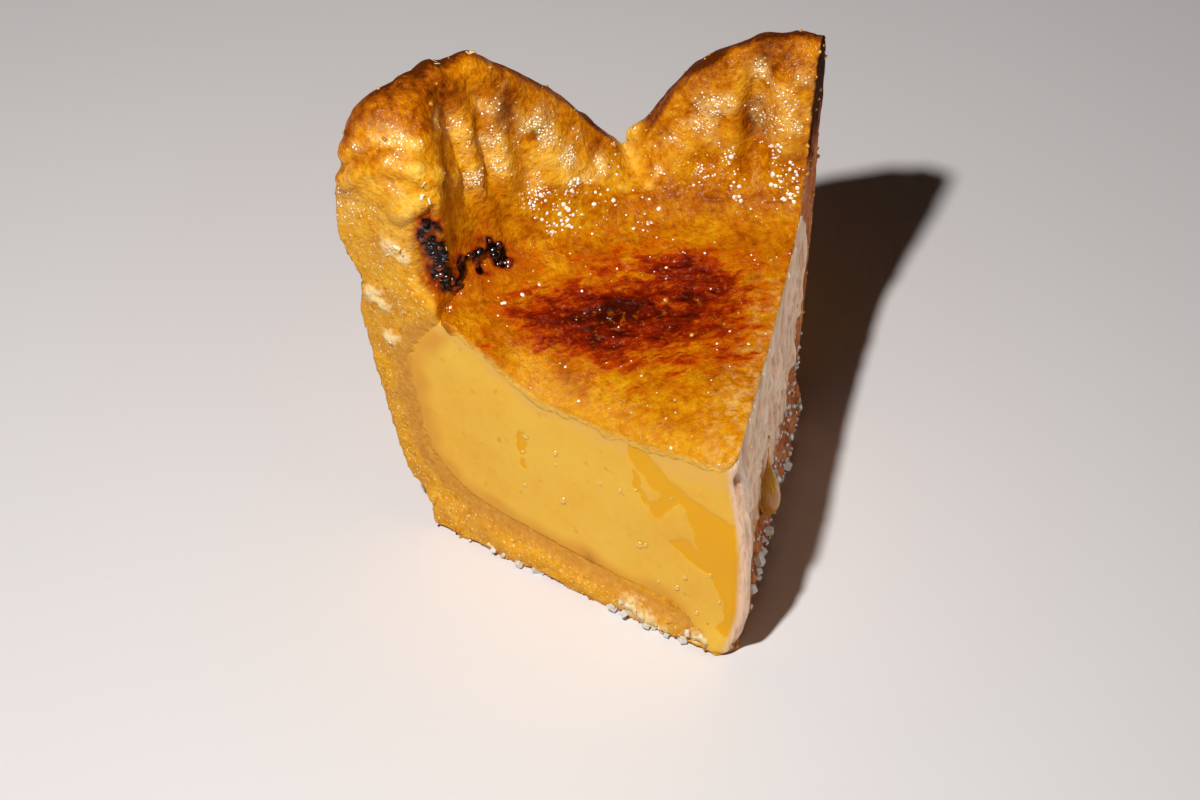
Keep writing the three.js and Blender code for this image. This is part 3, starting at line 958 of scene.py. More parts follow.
# %% Custard relief
CUSTARD_SMOOTHING_ROUNDS = 6
# Where the crust hides it, the custard reaches this far into the crust, and its cut faces step back a little.
TUCK_IN = 1.2
EDGE_SINK = 0.35
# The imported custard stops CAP_TOP mm under the glazed surface; the fine one rises to CAP_LEFT mm under it.
CAP_TOP = 1.7
CAP_LEFT = 0.55
DRAPE_DEPTH = 4.2
TIP_BULGE = 2.2
# Pits in the right cut, and one brown blotch on the left: distance along the cut and height.
RIGHT_PITS = ((1.4, 33.5), (6.0, 33.4), (9.5, 31.5), (16.0, 31.0), (26.0, 30.0))
BLOTCH = (21.6, 6.9)
BLOTCH_REACH = 1.2
# Peeled, wet places on the left cut: start and end as distance along the cut and height, and reach.
WET_STROKES = (
    ((15.0, 31.2), (10.5, 28.0), 2.4), ((10.5, 28.0), (5.0, 26.2), 2.2), ((10.0, 25.6), (12.0, 23.4), 2.2),
    ((14.6, 27.6), (13.6, 24.6), 1.2), ((4.0, 25.0), (1.6, 12.0), 4.6), ((7.6, 18.2), (4.0, 17.0), 2.6),
    ((2.6, 14.0), (1.0, 7.0), 2.6), ((31.5, 24.8), (31.9, 22.6), 1.3), ((31.8, 20.8), (31.9, 19.8), 0.9),
)


def on_left_cut(place):
    """Points laid out flat as distance along the left cut, height and nothing."""
    return np.column_stack((place.along_left, place.z, np.zeros(len(place.z))))


def shape_custard(custard, crust):
    """Smooth on the left cut and dragged on the right; it is tucked into the crust, so no gap shows."""
    points = evened(custard, read_points(custard), CUSTARD_SMOOTHING_ROUNDS)
    write_points(custard, points)
    normals = read_normals(custard)
    place = Place(points)
    left = smooth(place.from_left, 0.9, 0.3) * smooth(normals @ LEFT_CUT, 0.4, 0.8)
    right = smooth(place.from_right, 0.9, 0.3) * smooth(normals @ RIGHT_CUT, 0.4, 0.8)
    top = smooth(normals[:, 2], 0.4, 0.8) * smooth(place.z, 28.0, 31.0)
    hidden = (1 - left) * (1 - right) * (1 - top) * smooth(place.r, 3.0, 6.0)
    near_tip = smooth(place.r, 9.0, 3.0)

    flat = on_left_cut(place)
    ragged = flat + np.column_stack((
        1.1 * rough(points, 3.4, 24), 0.9 * rough(points, 3.4, 25), np.zeros(len(points))
    ))
    wet = np.zeros(len(points))
    for start, end, reach in WET_STROKES:
        wet = np.maximum(wet, stroke(ragged, (*start, 0), (*end, 0), reach))
    wet *= left

    drag = np.column_stack((place.along_right, place.z, place.from_right))
    drag[:, 0] += 0.5 * noise(points, 5.0, 26)
    grooves = 0.6 * ridges(drag, (1.3, 11.0, 9.0), 21) + 0.5 * noise(drag, (0.75, 6.0, 9.0), 22) - 0.3
    grooves *= smooth(place.along_right, 0.3, 2.2)
    pits = sum(bell(place.along_right, a, 0.8) * bell(place.z, z, 1.0) for a, z in RIGHT_PITS)
    lip = 1.0 * bell(place.along_right, 0.8, 1.6) * (0.35 + 0.65 * bell(place.z, 11.0, 5.0))
    edge = distance_to(crust, points, np.maximum(left, right) > 0)
    edge_share = smooth(edge, 1.4, 0.2)
    push = (left + right) * (knife_wave(points) + 0.05 * edge_share)
    push += right * (grooves - 0.9 * pits + lip) - 0.12 * smooth(wet, 0.3, 0.5)
    push -= 1.3 * right * smooth(place.z, 10.0, 3.0) * smooth(place.along_right, 16.0, 7.0)
    outward = normals * (hidden * TUCK_IN)[:, None]
    outward = without(outward, LEFT_CUT, smooth(place.from_left, 3.0, 1.0))
    outward = without(outward, RIGHT_CUT, smooth(place.from_right, 3.0, 1.0))
    moved = points + normals * push[:, None] + outward
    sunk = EDGE_SINK * smooth(hidden, 0.02, 0.3)
    moved -= LEFT_CUT * (sunk * smooth(place.from_left, 2.0, 0.8))[:, None]
    moved -= RIGHT_CUT * (sunk * smooth(place.from_right, 2.0, 0.8))[:, None]

    depth = surface_height(place) - place.z
    moved[:, 2] += (CAP_TOP - CAP_LEFT) * smooth(depth, 5.5, CAP_TOP)
    moved[:, 2] -= DRAPE_DEPTH * near_tip * smooth(place.z, 13.0, 5.5)
    out = points[:, :2] - np.array([0.0, 3.0])
    out /= np.maximum(np.linalg.norm(out, axis=1), 0.5)[:, None]
    moved[:, :2] += out * (0.75 * near_tip * smooth(place.z, 9.0, 5.5))[:, None]
    bulge = TIP_BULGE * smooth(place.z, 37.0, 20.0) * smooth(place.z, 4.0, 11.0) * smooth(place.r, 10.0, 1.5)
    moved -= left_cut_point(1.0, 0.0) * bulge[:, None]
    write_points(custard, moved)

    keep(custard, "right", smooth(place.from_right, 1.8, 0.7) * smooth(normals @ RIGHT_CUT, 0.0, 0.5))
    keep(custard, "wet", wet)
    keep(custard, "near_crust", smooth(edge + 0.8 * noise(points, 3.0, 29), 2.6, 0.0) * (1 - near_tip))
    # Painted shade in the valleys of the drag grooves.
    keep(custard, "groove_shade", smooth(grooves, 0.15, -0.35) * right)
    band = 3.4 + 1.5 * smooth(place.along_left, 22.0, 8.0)
    ragged_depth = surface_height(place) - place.z + 0.6 * rough(points, (3.0, 3.0, 1.4), 30)
    keep(custard, "skin", smooth(ragged_depth, band + 0.5, band - 0.7) * left)
    # The material paints the pits darker: painted shade in those hollows.
    keep(custard, "pits", pits * right)
    blotch = left_cut_point(*BLOTCH) + 0.4 * noise(points, 1.2, 27)[:, None]
    keep(custard, "blotch", 0.8 * spot(place, blotch, BLOTCH_REACH))


shape_custard(custard, crust)
print("custard points:", len(custard.data.vertices))

# %% [markdown]
# ## The burnt sugar's shape
#
# Sugar strewn on the custard was melted with a flame. It is clear amber where it is thin and dark red where
# it boiled longest, with wrinkles that all run the same way. The sheet feathers out on to the foot of the
# rim.

# %% Burnt sugar relief
SUGAR_VOXEL = 0.24
SUGAR_SMOOTHING_ROUNDS = 8
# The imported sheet's thickness, and what is left of it when its underside has been lifted.
SUGAR_THICKNESS = 1.4
SHEET_LEFT = 0.6
GRAIN_TURN = math.radians(-22.8)
# Where the flame stayed: x, y, reach along the grain, reach across it, and strength.
FLAME_SPOTS = (
    (-6.8, 32.4, 6.0, 3.2, 0.34),
    (1.0, 30.2, 7.0, 3.4, 0.22),
    (9.2, 30.0, 4.8, 3.6, 0.40),
    (8.6, 34.4, 4.0, 1.6, 0.42),
    (-6.5, 27.4, 5.0, 3.0, 0.30),
    (2.5, 25.0, 4.5, 2.2, 0.22),
    (-15.7, 38.2, 2.4, 1.8, 0.66),
    (-0.5, 29.5, 18.0, 10.5, 0.42),
    (-14.0, 33.0, 9.0, 6.0, 0.14),
    (5.0, 38.5, 10.0, 3.0, 0.3),
)


def along_grain(place):
    """How far along and across the wrinkles a point lies."""
    along = place.x * math.cos(GRAIN_TURN) + place.y * math.sin(GRAIN_TURN)
    across = -place.x * math.sin(GRAIN_TURN) + place.y * math.cos(GRAIN_TURN)
    return along, across


def flame_heat(points):
    """How long the flame stayed over each point."""
    heat = np.zeros(len(points))
    for x, y, reach, width, strength in FLAME_SPOTS:
        along, across = along_grain(Place(points - np.array([x, y, 0.0])))
        heat += strength * np.exp(-(along / reach) ** 2 - (across / width) ** 2)
    return heat


def shape_sugar(sheet):
    """A glazed skin with wrinkles where the flame stayed, and a ragged lip over the left cut."""
    points = evened(sheet, read_points(sheet), SUGAR_SMOOTHING_ROUNDS)
    write_points(sheet, points)
    normals = read_normals(sheet)
    place = Place(points)
    along, across = along_grain(place)
    flow = np.column_stack((along, across, place.z))
    flow[:, 0] += 1.5 * noise(points, 5.0, 36)
    flow[:, 1] += 1.0 * noise(points, 4.0, 37)
    heat = smooth(place.r, 44.0, 35.0) * flame_heat(points + 1.5 * wobble(points, 3.0, 31, 32, 38))
    streaks = ridges(flow, (6.5, 1.5, 3.0), 33)
    threads = ridges(flow, (4.0, 0.8, 3.0), 39)
    scorch = smooth(heat, 0.25, 0.9)
    top = smooth(normals[:, 2], 0.3, 0.7)
    push = 0.13 * noise(points, 6.0, 34) + 0.06 * rough(points, 1.8, 35)
    push += 0.14 * smooth(noise(points, 1.5, 45), 0.1, 0.8) + 0.05 * noise(points, 0.8, 46)
    push += scorch * (0.36 * streaks + 0.22 * threads + 0.10 * rough(flow, 1.2, 47) - 0.16)
    depth = surface_height(place) - place.z
    moved = points.copy()
    moved[:, 2] += (SUGAR_THICKNESS - SHEET_LEFT) * smooth(depth, 0.15, SUGAR_THICKNESS)
    moved += normals * (push * top)[:, None]
    spread = smooth(place.r, 38.0, 44.1) * smooth(place.from_left, 0.5, 6.0)
    moved[:, :2] *= (1 + 3.0 * spread / np.maximum(place.r, 1))[:, None]
    moved[:, 2] += (1.5 + 1.8 * smooth(place.angle, -18.0, -28.0)) * spread**3
    # Along the left cut the sheet hangs over the custard in a ragged lip.
    edge = smooth(place.from_left, 1.4, 0.2) * smooth(normals @ LEFT_CUT, -0.2, 0.3)
    hang = 0.4 + 0.9 * smooth(noise(points, 2.2, 43) + 0.4 * noise(points, 0.8, 44), -0.7, 0.7)
    moved[:, 2] -= hang * edge * (1 - top)
    moved += LEFT_CUT * (edge * (knife_wave(points) + 0.05 - 0.17 * smooth(depth, 0.5, 1.5)))[:, None]
    write_points(sheet, moved)

    char, burn = char_share(moved)
    keep(sheet, "scorch", heat + scorch * (0.14 - 0.34 * streaks) + 0.12 * rough(flow, (4.0, 1.3, 2.0), 40))
    keep(sheet, "threads", scorch * smooth(ridges(flow, (3.2, 0.7, 3.0), 42), 0.5, 0.95))
    ragged = 1.4 * rough(points, 3.0, 41)
    pale = smooth(place.from_left + ragged, 5.5, 0.2) * smooth(place.r, 39.0, 30.0)
    pale = np.maximum(pale, 0.75 * smooth(place.r + ragged, 17.0, 4.0))
    keep(sheet, "pale", pale)
    keep(sheet, "cloudy", smooth(place.from_right + 0.5 * ragged, 7.0, 1.0) * smooth(place.r, 38.0, 26.0))
    keep(sheet, "char", char)
    keep(sheet, "burn", burn)
    keep(sheet, "rim", (1 - top) * smooth(place.r, 43.0, 41.0))
    beads = 0.012 + 0.03 * smooth(place.r, 37.0, 42.0)
    for angle, radius, height, reach in BEAD_CLUSTERS:
        beads = np.maximum(beads, spot(place, pie_point(angle, radius, height), (reach, reach, 1.5)))
    keep(sheet, "beads", beads * (top > 0.8))


sheet = fine_copy("caramel_top", "burnt_sugar", SUGAR_VOXEL)
shape_sugar(sheet)
print("burnt sugar points:", len(sheet.data.vertices))

# %% [markdown]
# ## The crust's finish
#
# Short pastry brushed with egg and sugar: golden where it bulges, orange to dark brown towards the top edge,
# pale and waxy where the knife opened it. Part of that is painted light: the pale gold of the bulges and of
# the patches of grain is a painted highlight, and the dark of the folds and of the right cut is painted shade.
# Syrup has run on to the foot of the rim and set there as clear amber, so the shader gets a wet coat where the
# `glaze` attribute says so.

# %% Baked crust material
def amber(tree, lighten=None):
    """The colour of thin burnt sugar over custard: from orange brown to pale honey."""
    tone = speckle(tree, 5.0, 4.0) * 0.55 + speckle(tree, 0.9, 4.0) * 0.45
    if lighten:
        tone += lighten * 0.12
    return tone.into("ShaderNodeValToRGB", stops=(
        (0.34, "#8e4000"), (0.44, "#b05c00"), (0.52, "#c27402"), (0.60, "#d28c08"), (0.72, "#e2a21c"),
    ))


def charred(tree, base):
    """The colour with scorched orange brown, a dark red scab and then black char laid over it."""
    crackle = speckle(tree, 1.0, 4.0) * 0.7 - 0.35
    burn = Share(tree, "burn") + crackle
    char = Share(tree, "char") + crackle
    scorched = burn.into("ShaderNodeMapRange", From_Min=0.28, From_Max=0.9)
    scab = char.into("ShaderNodeMapRange", From_Min=0.12, From_Max=0.42)
    black = char.into("ShaderNodeMapRange", From_Min=0.40, From_Max=0.56)
    return layered(base, (scorched, "#a84404"), (scab * 0.85, "#7c2002"), (black, "#060201"))


def make_crust_material():
    """Shortcrust brushed with egg: the wash gives the satin coat, and dry crumb at the cuts has none."""
    material, tree = new_material("baked_egg_washed_pastry")
    bake, glaze, cut, grain_and_sheen, right_cut_shade = [
        Share(tree, name) for name in ("bake", "glaze", "cut", "grain_and_sheen", "right_cut_shade")
    ]
    mottle = speckle(tree, 2.2, 4.0)
    fine = speckle(tree, 0.8, 3.0)
    browned = bake + (mottle - 0.5) * 0.5 + (fine - 0.5) * 0.55
    skin = browned.into("ShaderNodeValToRGB", stops=(
        (0.1, "#f0bc4a"), (0.28, "#e6a426"), (0.42, "#d68a0c"), (0.56, "#be6c02"), (0.74, "#944602"),
        (0.92, "#542202"),
    ))
    # On the patches of grain the skin is painted pale gold with paler specks: a painted highlight for the sheen
    # and glints of the lamp.
    grains = grain_and_sheen * speckle(tree, 0.55, 3.0).into("ShaderNodeMapRange", From_Min=0.46, From_Max=0.66)
    skin = layered(skin, (grain_and_sheen * 0.55, "#f2c05c"), (grains * 0.7, "#fddc92"))

    crumb = (mottle * 0.6 + fine * 0.4).into("ShaderNodeValToRGB", stops=(
        (0.34, "#d08616"), (0.46, "#e49e24"), (0.56, "#ecaa2e"), (0.68, "#f4be4a"),
    ))
    tan = fine.into("ShaderNodeValToRGB", stops=((0.35, "#cc8830"), (0.65, "#d89a40")))
    # The right cut's ramp, from pale tan to near black, is painted shade.
    shaded = (right_cut_shade + (fine - 0.5) * 0.5).into("ShaderNodeValToRGB", stops=(
        (0.2, "#cc8454"), (0.45, "#984c2a"), (0.65, "#4c220c"), (0.9, "#281004"),
    ))
    clouds = speckle(tree, 6.0).into("ShaderNodeMapRange", From_Min=0.44, From_Max=0.62)
    flecks = speckle(tree, 1.1).into("ShaderNodeMapRange", From_Min=0.60, From_Max=0.76)
    # Fine pale specks on the crumb are a painted highlight: small glints of the lamp.
    glint_specks = speckle(tree, 0.4).into("ShaderNodeMapRange", From_Min=0.64, From_Max=0.72)
    flaky = Share(tree, "flaky") + fine * 1.4 - 0.7
    flaky = flaky.into("ShaderNodeMapRange", From_Min=0.3, From_Max=0.9)
    in_shade = right_cut_shade.into("ShaderNodeMapRange", From_Min=0.0, From_Max=0.2)
    crumb = layered(
        crumb, (clouds * 0.5, "#cc8e3c"), (flecks, "#c87c14"), (glint_specks, "#f8e0a8"), (Share(tree, "seam"), tan),
        (flaky, "#f8d698"), (in_shade, shaded),
    )
    base = charred(tree, layered(skin, (glaze, amber(tree)), (cut, crumb)))

    # The coat is thinner on dry crumb and on the browned tops, and full on char.
    dry_tops = bake.into("ShaderNodeMapRange", From_Min=0.5, From_Max=0.85)
    char_coat = Share(tree, "char").into("ShaderNodeMapRange", From_Min=0.2, From_Max=0.5)
    coat = glaze * 0.1 + cut * -0.3 + dry_tops * -0.35 + 0.4 - right_cut_shade
    coat = coat.into("ShaderNodeMath", {"operation": "MAXIMUM"}, _1=0.0)
    coat = coat.into("ShaderNodeMath", {"operation": "MAXIMUM"}, _1=char_coat)
    calm = cut * -0.6 + 1.0
    normal = bumped((speckle(tree, 1.3, 3.0) * calm, 0.55, 0.8), (speckle(tree, 0.6, 2.0) * calm, 0.35, 0.9))
    set_surface(
        tree, Base_Color=base, Roughness=glaze * -0.1 + cut * 0.25 + 0.5, IOR=1.1, Coat_Weight=coat,
        Coat_Roughness=0.14, Coat_IOR=1.35, Normal=normal, Coat_Normal=normal, Subsurface_Weight=0.15,
        Subsurface_Scale=0.001, Subsurface_Radius=(1.0, 0.45, 0.1),
    )
    return material


finish_piece(crust, make_crust_material(), "baked_crust", "crust")


# %% [markdown]
# ## The custard's finish
#
# Egg and cream: deep yellow, satin where the knife's skin is left and wet where it is peeled. Light travels a
# few millimetres inside, so the shader scatters below the surface, red furthest.

# %% Custard material
def make_custard_material():
    """Set egg custard: light sinks in and comes back warm, and the peeled places shine a little more."""
    material, tree = new_material("set_egg_custard")
    right = Share(tree, "right")
    fine = speckle(tree, 1.0, 3.0)
    wet = (Share(tree, "wet") + fine * 0.16).into("ShaderNodeMapRange", From_Min=0.46, From_Max=0.52)
    # The knife drew fine upright threads over the right cut; their furrows are painted darker, a painted shade.
    drawn = speckle(tree, 0.5, 4.0, (1.0, 1.0, 6.0))
    threads = drawn.into("ShaderNodeMapRange", From_Min=0.48, From_Max=0.34)
    flecks = speckle(tree, 1.6).into("ShaderNodeMapRange", From_Min=0.66, From_Max=0.80)
    tone = speckle(tree, 9.0, 3.0) * 0.7 + fine * 0.3
    base = layered(
        tone.into("ShaderNodeValToRGB", stops=((0.35, "#f0b23a"), (0.5, "#f3bb42"), (0.7, "#f5c24a"))),
        (flecks, "#e6a428"), (Share(tree, "near_crust"), "#e4a036"), (Share(tree, "skin") * 0.8, "#f0b654"),
        # On the right cut the pale pink is a painted reflection of the pale table, which that face shows at a
        # grazing angle.
        (wet, "#efaa00"), (right, "#ffd4b2"), (right * threads * 0.45, "#c07c54"),
        # The valleys of the grooves and the pits are painted darker: painted shade in those hollows.
        (Share(tree, "groove_shade") * 0.4, "#ac6a44"), (Share(tree, "pits"), "#a85510"),
        (Share(tree, "blotch"), "#b87420"),
    )
    set_surface(
        tree, Base_Color=base, Roughness=wet * -0.12 + right * -0.1 + 0.42, IOR=1.15,
        Coat_Weight=right * 0.7 + wet * 0.15 + 0.12, Coat_Roughness=0.15, Coat_IOR=1.4,
        Normal=bumped((fine, 0.08, 0.6), (drawn * right, 0.7, 0.9)), Subsurface_Weight=0.3,
        Subsurface_Scale=0.002, Subsurface_Radius=(1.0, 0.5, 0.08),
    )
    return material


finish_piece(custard, make_custard_material(), "custard", "custard")

# %% [markdown]
# ## The burnt sugar's finish
#
# Melted sugar sets to a clear glass, amber where it is thin and dark red where it burned. A grainy relief
# under a thin sharp coat breaks the lamp up into many small glints, which is what makes it look wet.

# %% Burnt sugar material
def make_sugar_material():
    """Melted sugar burnt with a flame: clear amber, wrinkled dark red where it boiled, and wet all over."""
    material, tree = new_material("burnt_sugar_glaze")
    pale = Share(tree, "pale")
    scorch = Share(tree, "scorch")
    scorched = scorch.into("ShaderNodeMapRange", From_Min=0.1, From_Max=0.4)
    fine = speckle(tree, 0.9, 3.0)
    grain = speckle(tree, 0.5, 3.0)
    drawn = speckle(tree, 0.6, 4.0, (2.0, 1.0, 2.0), -GRAIN_TURN)
    clumps = speckle(tree, 1.6, 5.0, (1.6, 1.0, 1.5), -GRAIN_TURN)
    heat = scorch + (drawn - 0.5) * 0.5 + clumps - 0.5 + pale * -0.2
    burning = heat.into("ShaderNodeMapRange", From_Min=0.06, From_Max=0.34)
    burnt = heat.into("ShaderNodeValToRGB", stops=(
        (0.08, "#cc6c04"), (0.22, "#c65800"), (0.38, "#a83600"), (0.54, "#8c1e00"), (0.74, "#701200"),
        (0.94, "#400a00"),
    ))
    honey = fine.into("ShaderNodeValToRGB", stops=((0.35, "#d68004"), (0.65, "#e29c10")))
    patches = speckle(tree, 1.4, 3.0).into("ShaderNodeMapRange", From_Min=0.46, From_Max=0.66)
    cloud = Share(tree, "cloudy") * patches
    island = scorched * fine.into("ShaderNodeMapRange", From_Min=0.56, From_Max=0.66)
    # A crease runs wherever drawn-out noise passes its middle value.
    crease = speckle(tree, 1.1, 3.0, (3.0, 1.0, 2.0), -GRAIN_TURN) - 0.5
    crease = crease.into("ShaderNodeMath", {"operation": "ABSOLUTE"})
    crease = scorched * crease.into("ShaderNodeMapRange", From_Min=0.045, From_Max=0.0)
    crease = crease.into("ShaderNodeMath", {"operation": "MAXIMUM"}, _1=Share(tree, "threads"))
    base = layered(
        amber(tree, pale), (pale * 0.7, honey), (cloud * 0.6, "#e8b870"), (burning, burnt),
        (island * 0.55, "#c65a06"), (crease * 0.65, "#380700"), (Share(tree, "rim"), "#eeb248"),
    )
    relief = bumped((speckle(tree, 1.3, 3.0), 0.5, 0.8), (drawn * scorched, 0.5, 0.8), (grain, 0.35, 0.9))
    set_surface(
        tree, Base_Color=charred(tree, base), Roughness=0.45, IOR=1.1, Normal=relief, Coat_Weight=0.3,
        Coat_Roughness=0.12, Coat_IOR=1.35, Coat_Normal=bumped((grain, 0.32, 0.7)), Subsurface_Weight=0.12,
        Subsurface_Scale=0.001, Subsurface_Radius=(1.0, 0.4, 0.1),
    )
    return material


finish_piece(sheet, make_sugar_material(), "burnt_sugar", "caramel_top")

# %% [markdown]
# ## Small things, set in place
#
# Drops of syrup, charred blisters, bubbles, sugar crystals, pastry flakes and crumbs each repeat one simple
# shape at many places. Geometry Nodes does this well: the places are points that carry their own direction,
# turn and size, the shape is set on each of them, and the copies are made real. So one tree serves them all.

# %% Places and the tree that sets a shape on them
# Random turns run over a full turn, in radians.
FULL_TURN = 6.28


def chosen(obj, chance, count, spacing, seed):
    """Random points of a mesh, likelier where `chance` is high, at least `spacing` mm apart."""
    rng = np.random.default_rng(seed)
    points = read_points(obj)
    normals = read_normals(obj)
    weight = np.maximum(chance, 0)
    order = rng.choice(len(points), min(4 * count, int((weight > 0).sum())), False, weight / weight.sum())
    kept = []
    taken = set()
    for k in order:
        cell = tuple(np.floor(points[k] / spacing).astype(int))
        if cell in taken:
            continue
        taken.add(cell)
        kept.append(k)
        if len(kept) == count:
            break
    spread = rng.normal(0, 0.25 * spacing, (len(kept), 3))
    ups = normals[kept]
    spread -= (spread * ups).sum(axis=1)[:, None] * ups
    return points[kept] + spread, ups


def read_kept(obj, name):
    """The numbers that `keep` stored."""
    values = np.empty(len(obj.data.vertices), np.float32)
    obj.data.attributes[name].data.foreach_get("value", values)
    return values


def make_placing_tree():
    """Geometry Nodes: a shape on every point, stood up along `up`, turned by `spin`, scaled by `size`."""
    tree = bpy.data.node_groups.new("shape_on_points", "GeometryNodeTree")
    for name, way, kind in (
        ("Points", "INPUT", "Geometry"), ("Shape", "INPUT", "Object"), ("Finish", "INPUT", "Material"),
        ("Pieces", "OUTPUT", "Geometry"),
    ):
        tree.interface.new_socket(name, in_out=way, socket_type="NodeSocket" + kind)
    given = tree.nodes.new("NodeGroupInput").outputs
    up, size, spin = [
        add_node(tree, "GeometryNodeInputNamedAttribute", {"data_type": kind}, "Attribute", Name=name)
        for name, kind in (("up", "FLOAT_VECTOR"), ("size", "FLOAT_VECTOR"), ("spin", "FLOAT"))
    ]
    stand = add_node(tree, "FunctionNodeAlignRotationToVector", {"axis": "Z"}, Vector=up)
    turn = add_node(tree, "FunctionNodeAxisAngleToRotation", Axis=(0, 0, 1), Angle=spin)
    both = add_node(
        tree, "FunctionNodeRotateRotation", {"rotation_space": "LOCAL"}, Rotation=stand, Rotate_By=turn
    )
    shape = add_node(tree, "GeometryNodeObjectInfo", out="Geometry", Object=given["Shape"])
    placed = add_node(
        tree, "GeometryNodeInstanceOnPoints", Points=given["Points"], Instance=shape, Rotation=both,
        Scale=size,
    )
    real = add_node(tree, "GeometryNodeRealizeInstances", Geometry=placed)
    painted = add_node(tree, "GeometryNodeSetMaterial", Geometry=real, Material=given["Finish"])
    add_node(tree, "NodeGroupOutput", Pieces=painted)
    return tree


placing_tree = make_placing_tree()


def set_in_place(name, slot, shape, material, points, ups, sizes, spins):
    """A finished piece with the shape on every point; `sizes` are in mm."""
    mesh = bpy.data.meshes.new(name + "_places")
    mesh.from_pydata(((points + AXIS) * MM).tolist(), [], [])
    for key, values in (("up", ups), ("size", sizes * MM)):
        layer = mesh.attributes.new(key, "FLOAT_VECTOR", "POINT")
        layer.data.foreach_set("vector", np.asarray(values, np.float32).ravel())
    obj = add_object(name + "_places", mesh)
    keep(obj, "spin", spins)
    modifier = obj.modifiers.new("placing", "NODES")
    modifier.node_group = placing_tree
    for socket in placing_tree.interface.items_tree:
        if socket.name == "Shape":
            modifier[socket.identifier] = shape
        if socket.name == "Finish":
            modifier[socket.identifier] = material
    copies = plain_mesh(obj, name)
    # A copy that would reach into the table is lifted on to it.
    verts = read_points(copies).reshape(len(points), -1, 3)
    verts[:, :, 2] += np.maximum(-verts[:, :, 2].min(axis=1), 0.0)[:, None]
    write_points(copies, verts.reshape(-1, 3))
    finish_piece(copies, material, slot)
    return copies


def shape_from(work, name):
    """An object from a small bmesh, kept out of the render."""
    mesh = bpy.data.meshes.new(name)
    bmesh.ops.recalc_face_normals(work, faces=work.faces)
    work.to_mesh(mesh)
    work.free()
    return bpy.data.objects.new(name, mesh)


# %% [markdown]
# ## Drops of syrup
#
# Where the flame stopped, the melted sugar stands in tiny clear domes. Each throws back one bright point of
# the lamp, and together they are what makes the surface look wet. A flat round shape does it: the flatter it
# is, the larger the bright point.

# %% Syrup drops
DROP_COUNT = 300
DROP_SPACING = 0.62
DROP_WIDTH = (0.26, 0.8)
# Height as a share of the width.
DROP_HEIGHT = 0.34
# The drops had slumped before they set, so their tops lean this way, and follow the skin below only in part.
DROP_LEAN = np.array([-0.34, -0.475, 0.81])
SKIN_LEAN = 0.6
# Finer grains of melted sugar on the rim and the sheet.
GRAIN_COUNT = 900
SHEET_GRAIN_COUNT = 110
GRAIN_SPACING = 0.4
GRAIN_WIDTH = (0.14, 0.36)


def make_drop_shape():
    """A small ball, 1 across; `size` makes it a flat dome, half sunk."""
    work = bmesh.new()
    bmesh.ops.create_icosphere(work, subdivisions=2, radius=0.5)
    return shape_from(work, "drop_shape")


def make_syrup_material():
    """Set syrup: clear amber, or painted near white as a painted glint, with a strong glint on top from the
    coat.
    """
    material, tree = new_material("set_syrup")
    # About half the drops are painted near white: a painted glint, standing in for the lamp's bright point.
    painted_glint = speckle(tree, 1.6).into("ShaderNodeMapRange", From_Min=0.42, From_Max=0.5)
    set_surface(
        tree, Base_Color=layered(amber(tree), (painted_glint, "#fff0d6")), Roughness=0.3, IOR=1.5, Coat_Weight=1.0,
        Coat_Roughness=0.22, Coat_IOR=1.8,
    )
    return material


def make_drops():
    """Larger drops where the syrup pooled, and fine grains on the patches of grain and painted sheen."""
    rng = np.random.default_rng(61)
    grain_and_sheen = read_kept(crust, "grain_and_sheen") ** 2
    wide_open = (read_kept(sheet, "beads") > 0) * smooth(noise(read_points(sheet), 4.0, 69), -0.2, 0.6)
    hosts = [
        chosen(host, chance, count, spacing, seed)
        for host, chance, count, spacing, seed in (
            (crust, read_kept(crust, "beads"), DROP_COUNT, DROP_SPACING, 62),
            (sheet, read_kept(sheet, "beads"), DROP_COUNT // 4, DROP_SPACING, 63),
            (crust, grain_and_sheen, GRAIN_COUNT, GRAIN_SPACING, 64),
            (sheet, wide_open, SHEET_GRAIN_COUNT, GRAIN_SPACING, 65),
        )
    ]
    points = np.vstack([h[0] for h in hosts])
    ups = np.vstack([h[1] for h in hosts]) * SKIN_LEAN + DROP_LEAN
    low, high = DROP_WIDTH
    # Small drops are far more common than large ones.
    width = low + (high - low) * rng.random(len(points)) ** 2.2
    grains = len(hosts[-1][0]) + len(hosts[-2][0])
    width[-grains:] = rng.uniform(*GRAIN_WIDTH, grains)
    width[-len(hosts[-1][0]):] *= 0.75
    sizes = np.column_stack((width, width * rng.uniform(0.75, 1.0, len(points)), width * DROP_HEIGHT))
    spins = rng.uniform(0, FULL_TURN, len(points))
    set_in_place("syrup_drops", "syrup", make_drop_shape(), make_syrup_material(), points, ups, sizes, spins)


make_drops()

# %% [markdown]
# ## Charred blisters
#
# Sugar that burned to black tar stands in small glossy blisters on the charred places at the left end of the
# rim. They are the drops' shape again, wider and rounder, and tilted a little at random.

# %% Blisters
BLISTER_COUNT = 44
BLISTER_SPACING = 0.9
BLISTER_WIDTH = (0.6, 1.5)
BLISTER_HEIGHT = 0.36
BLISTER_TILT = 0.2


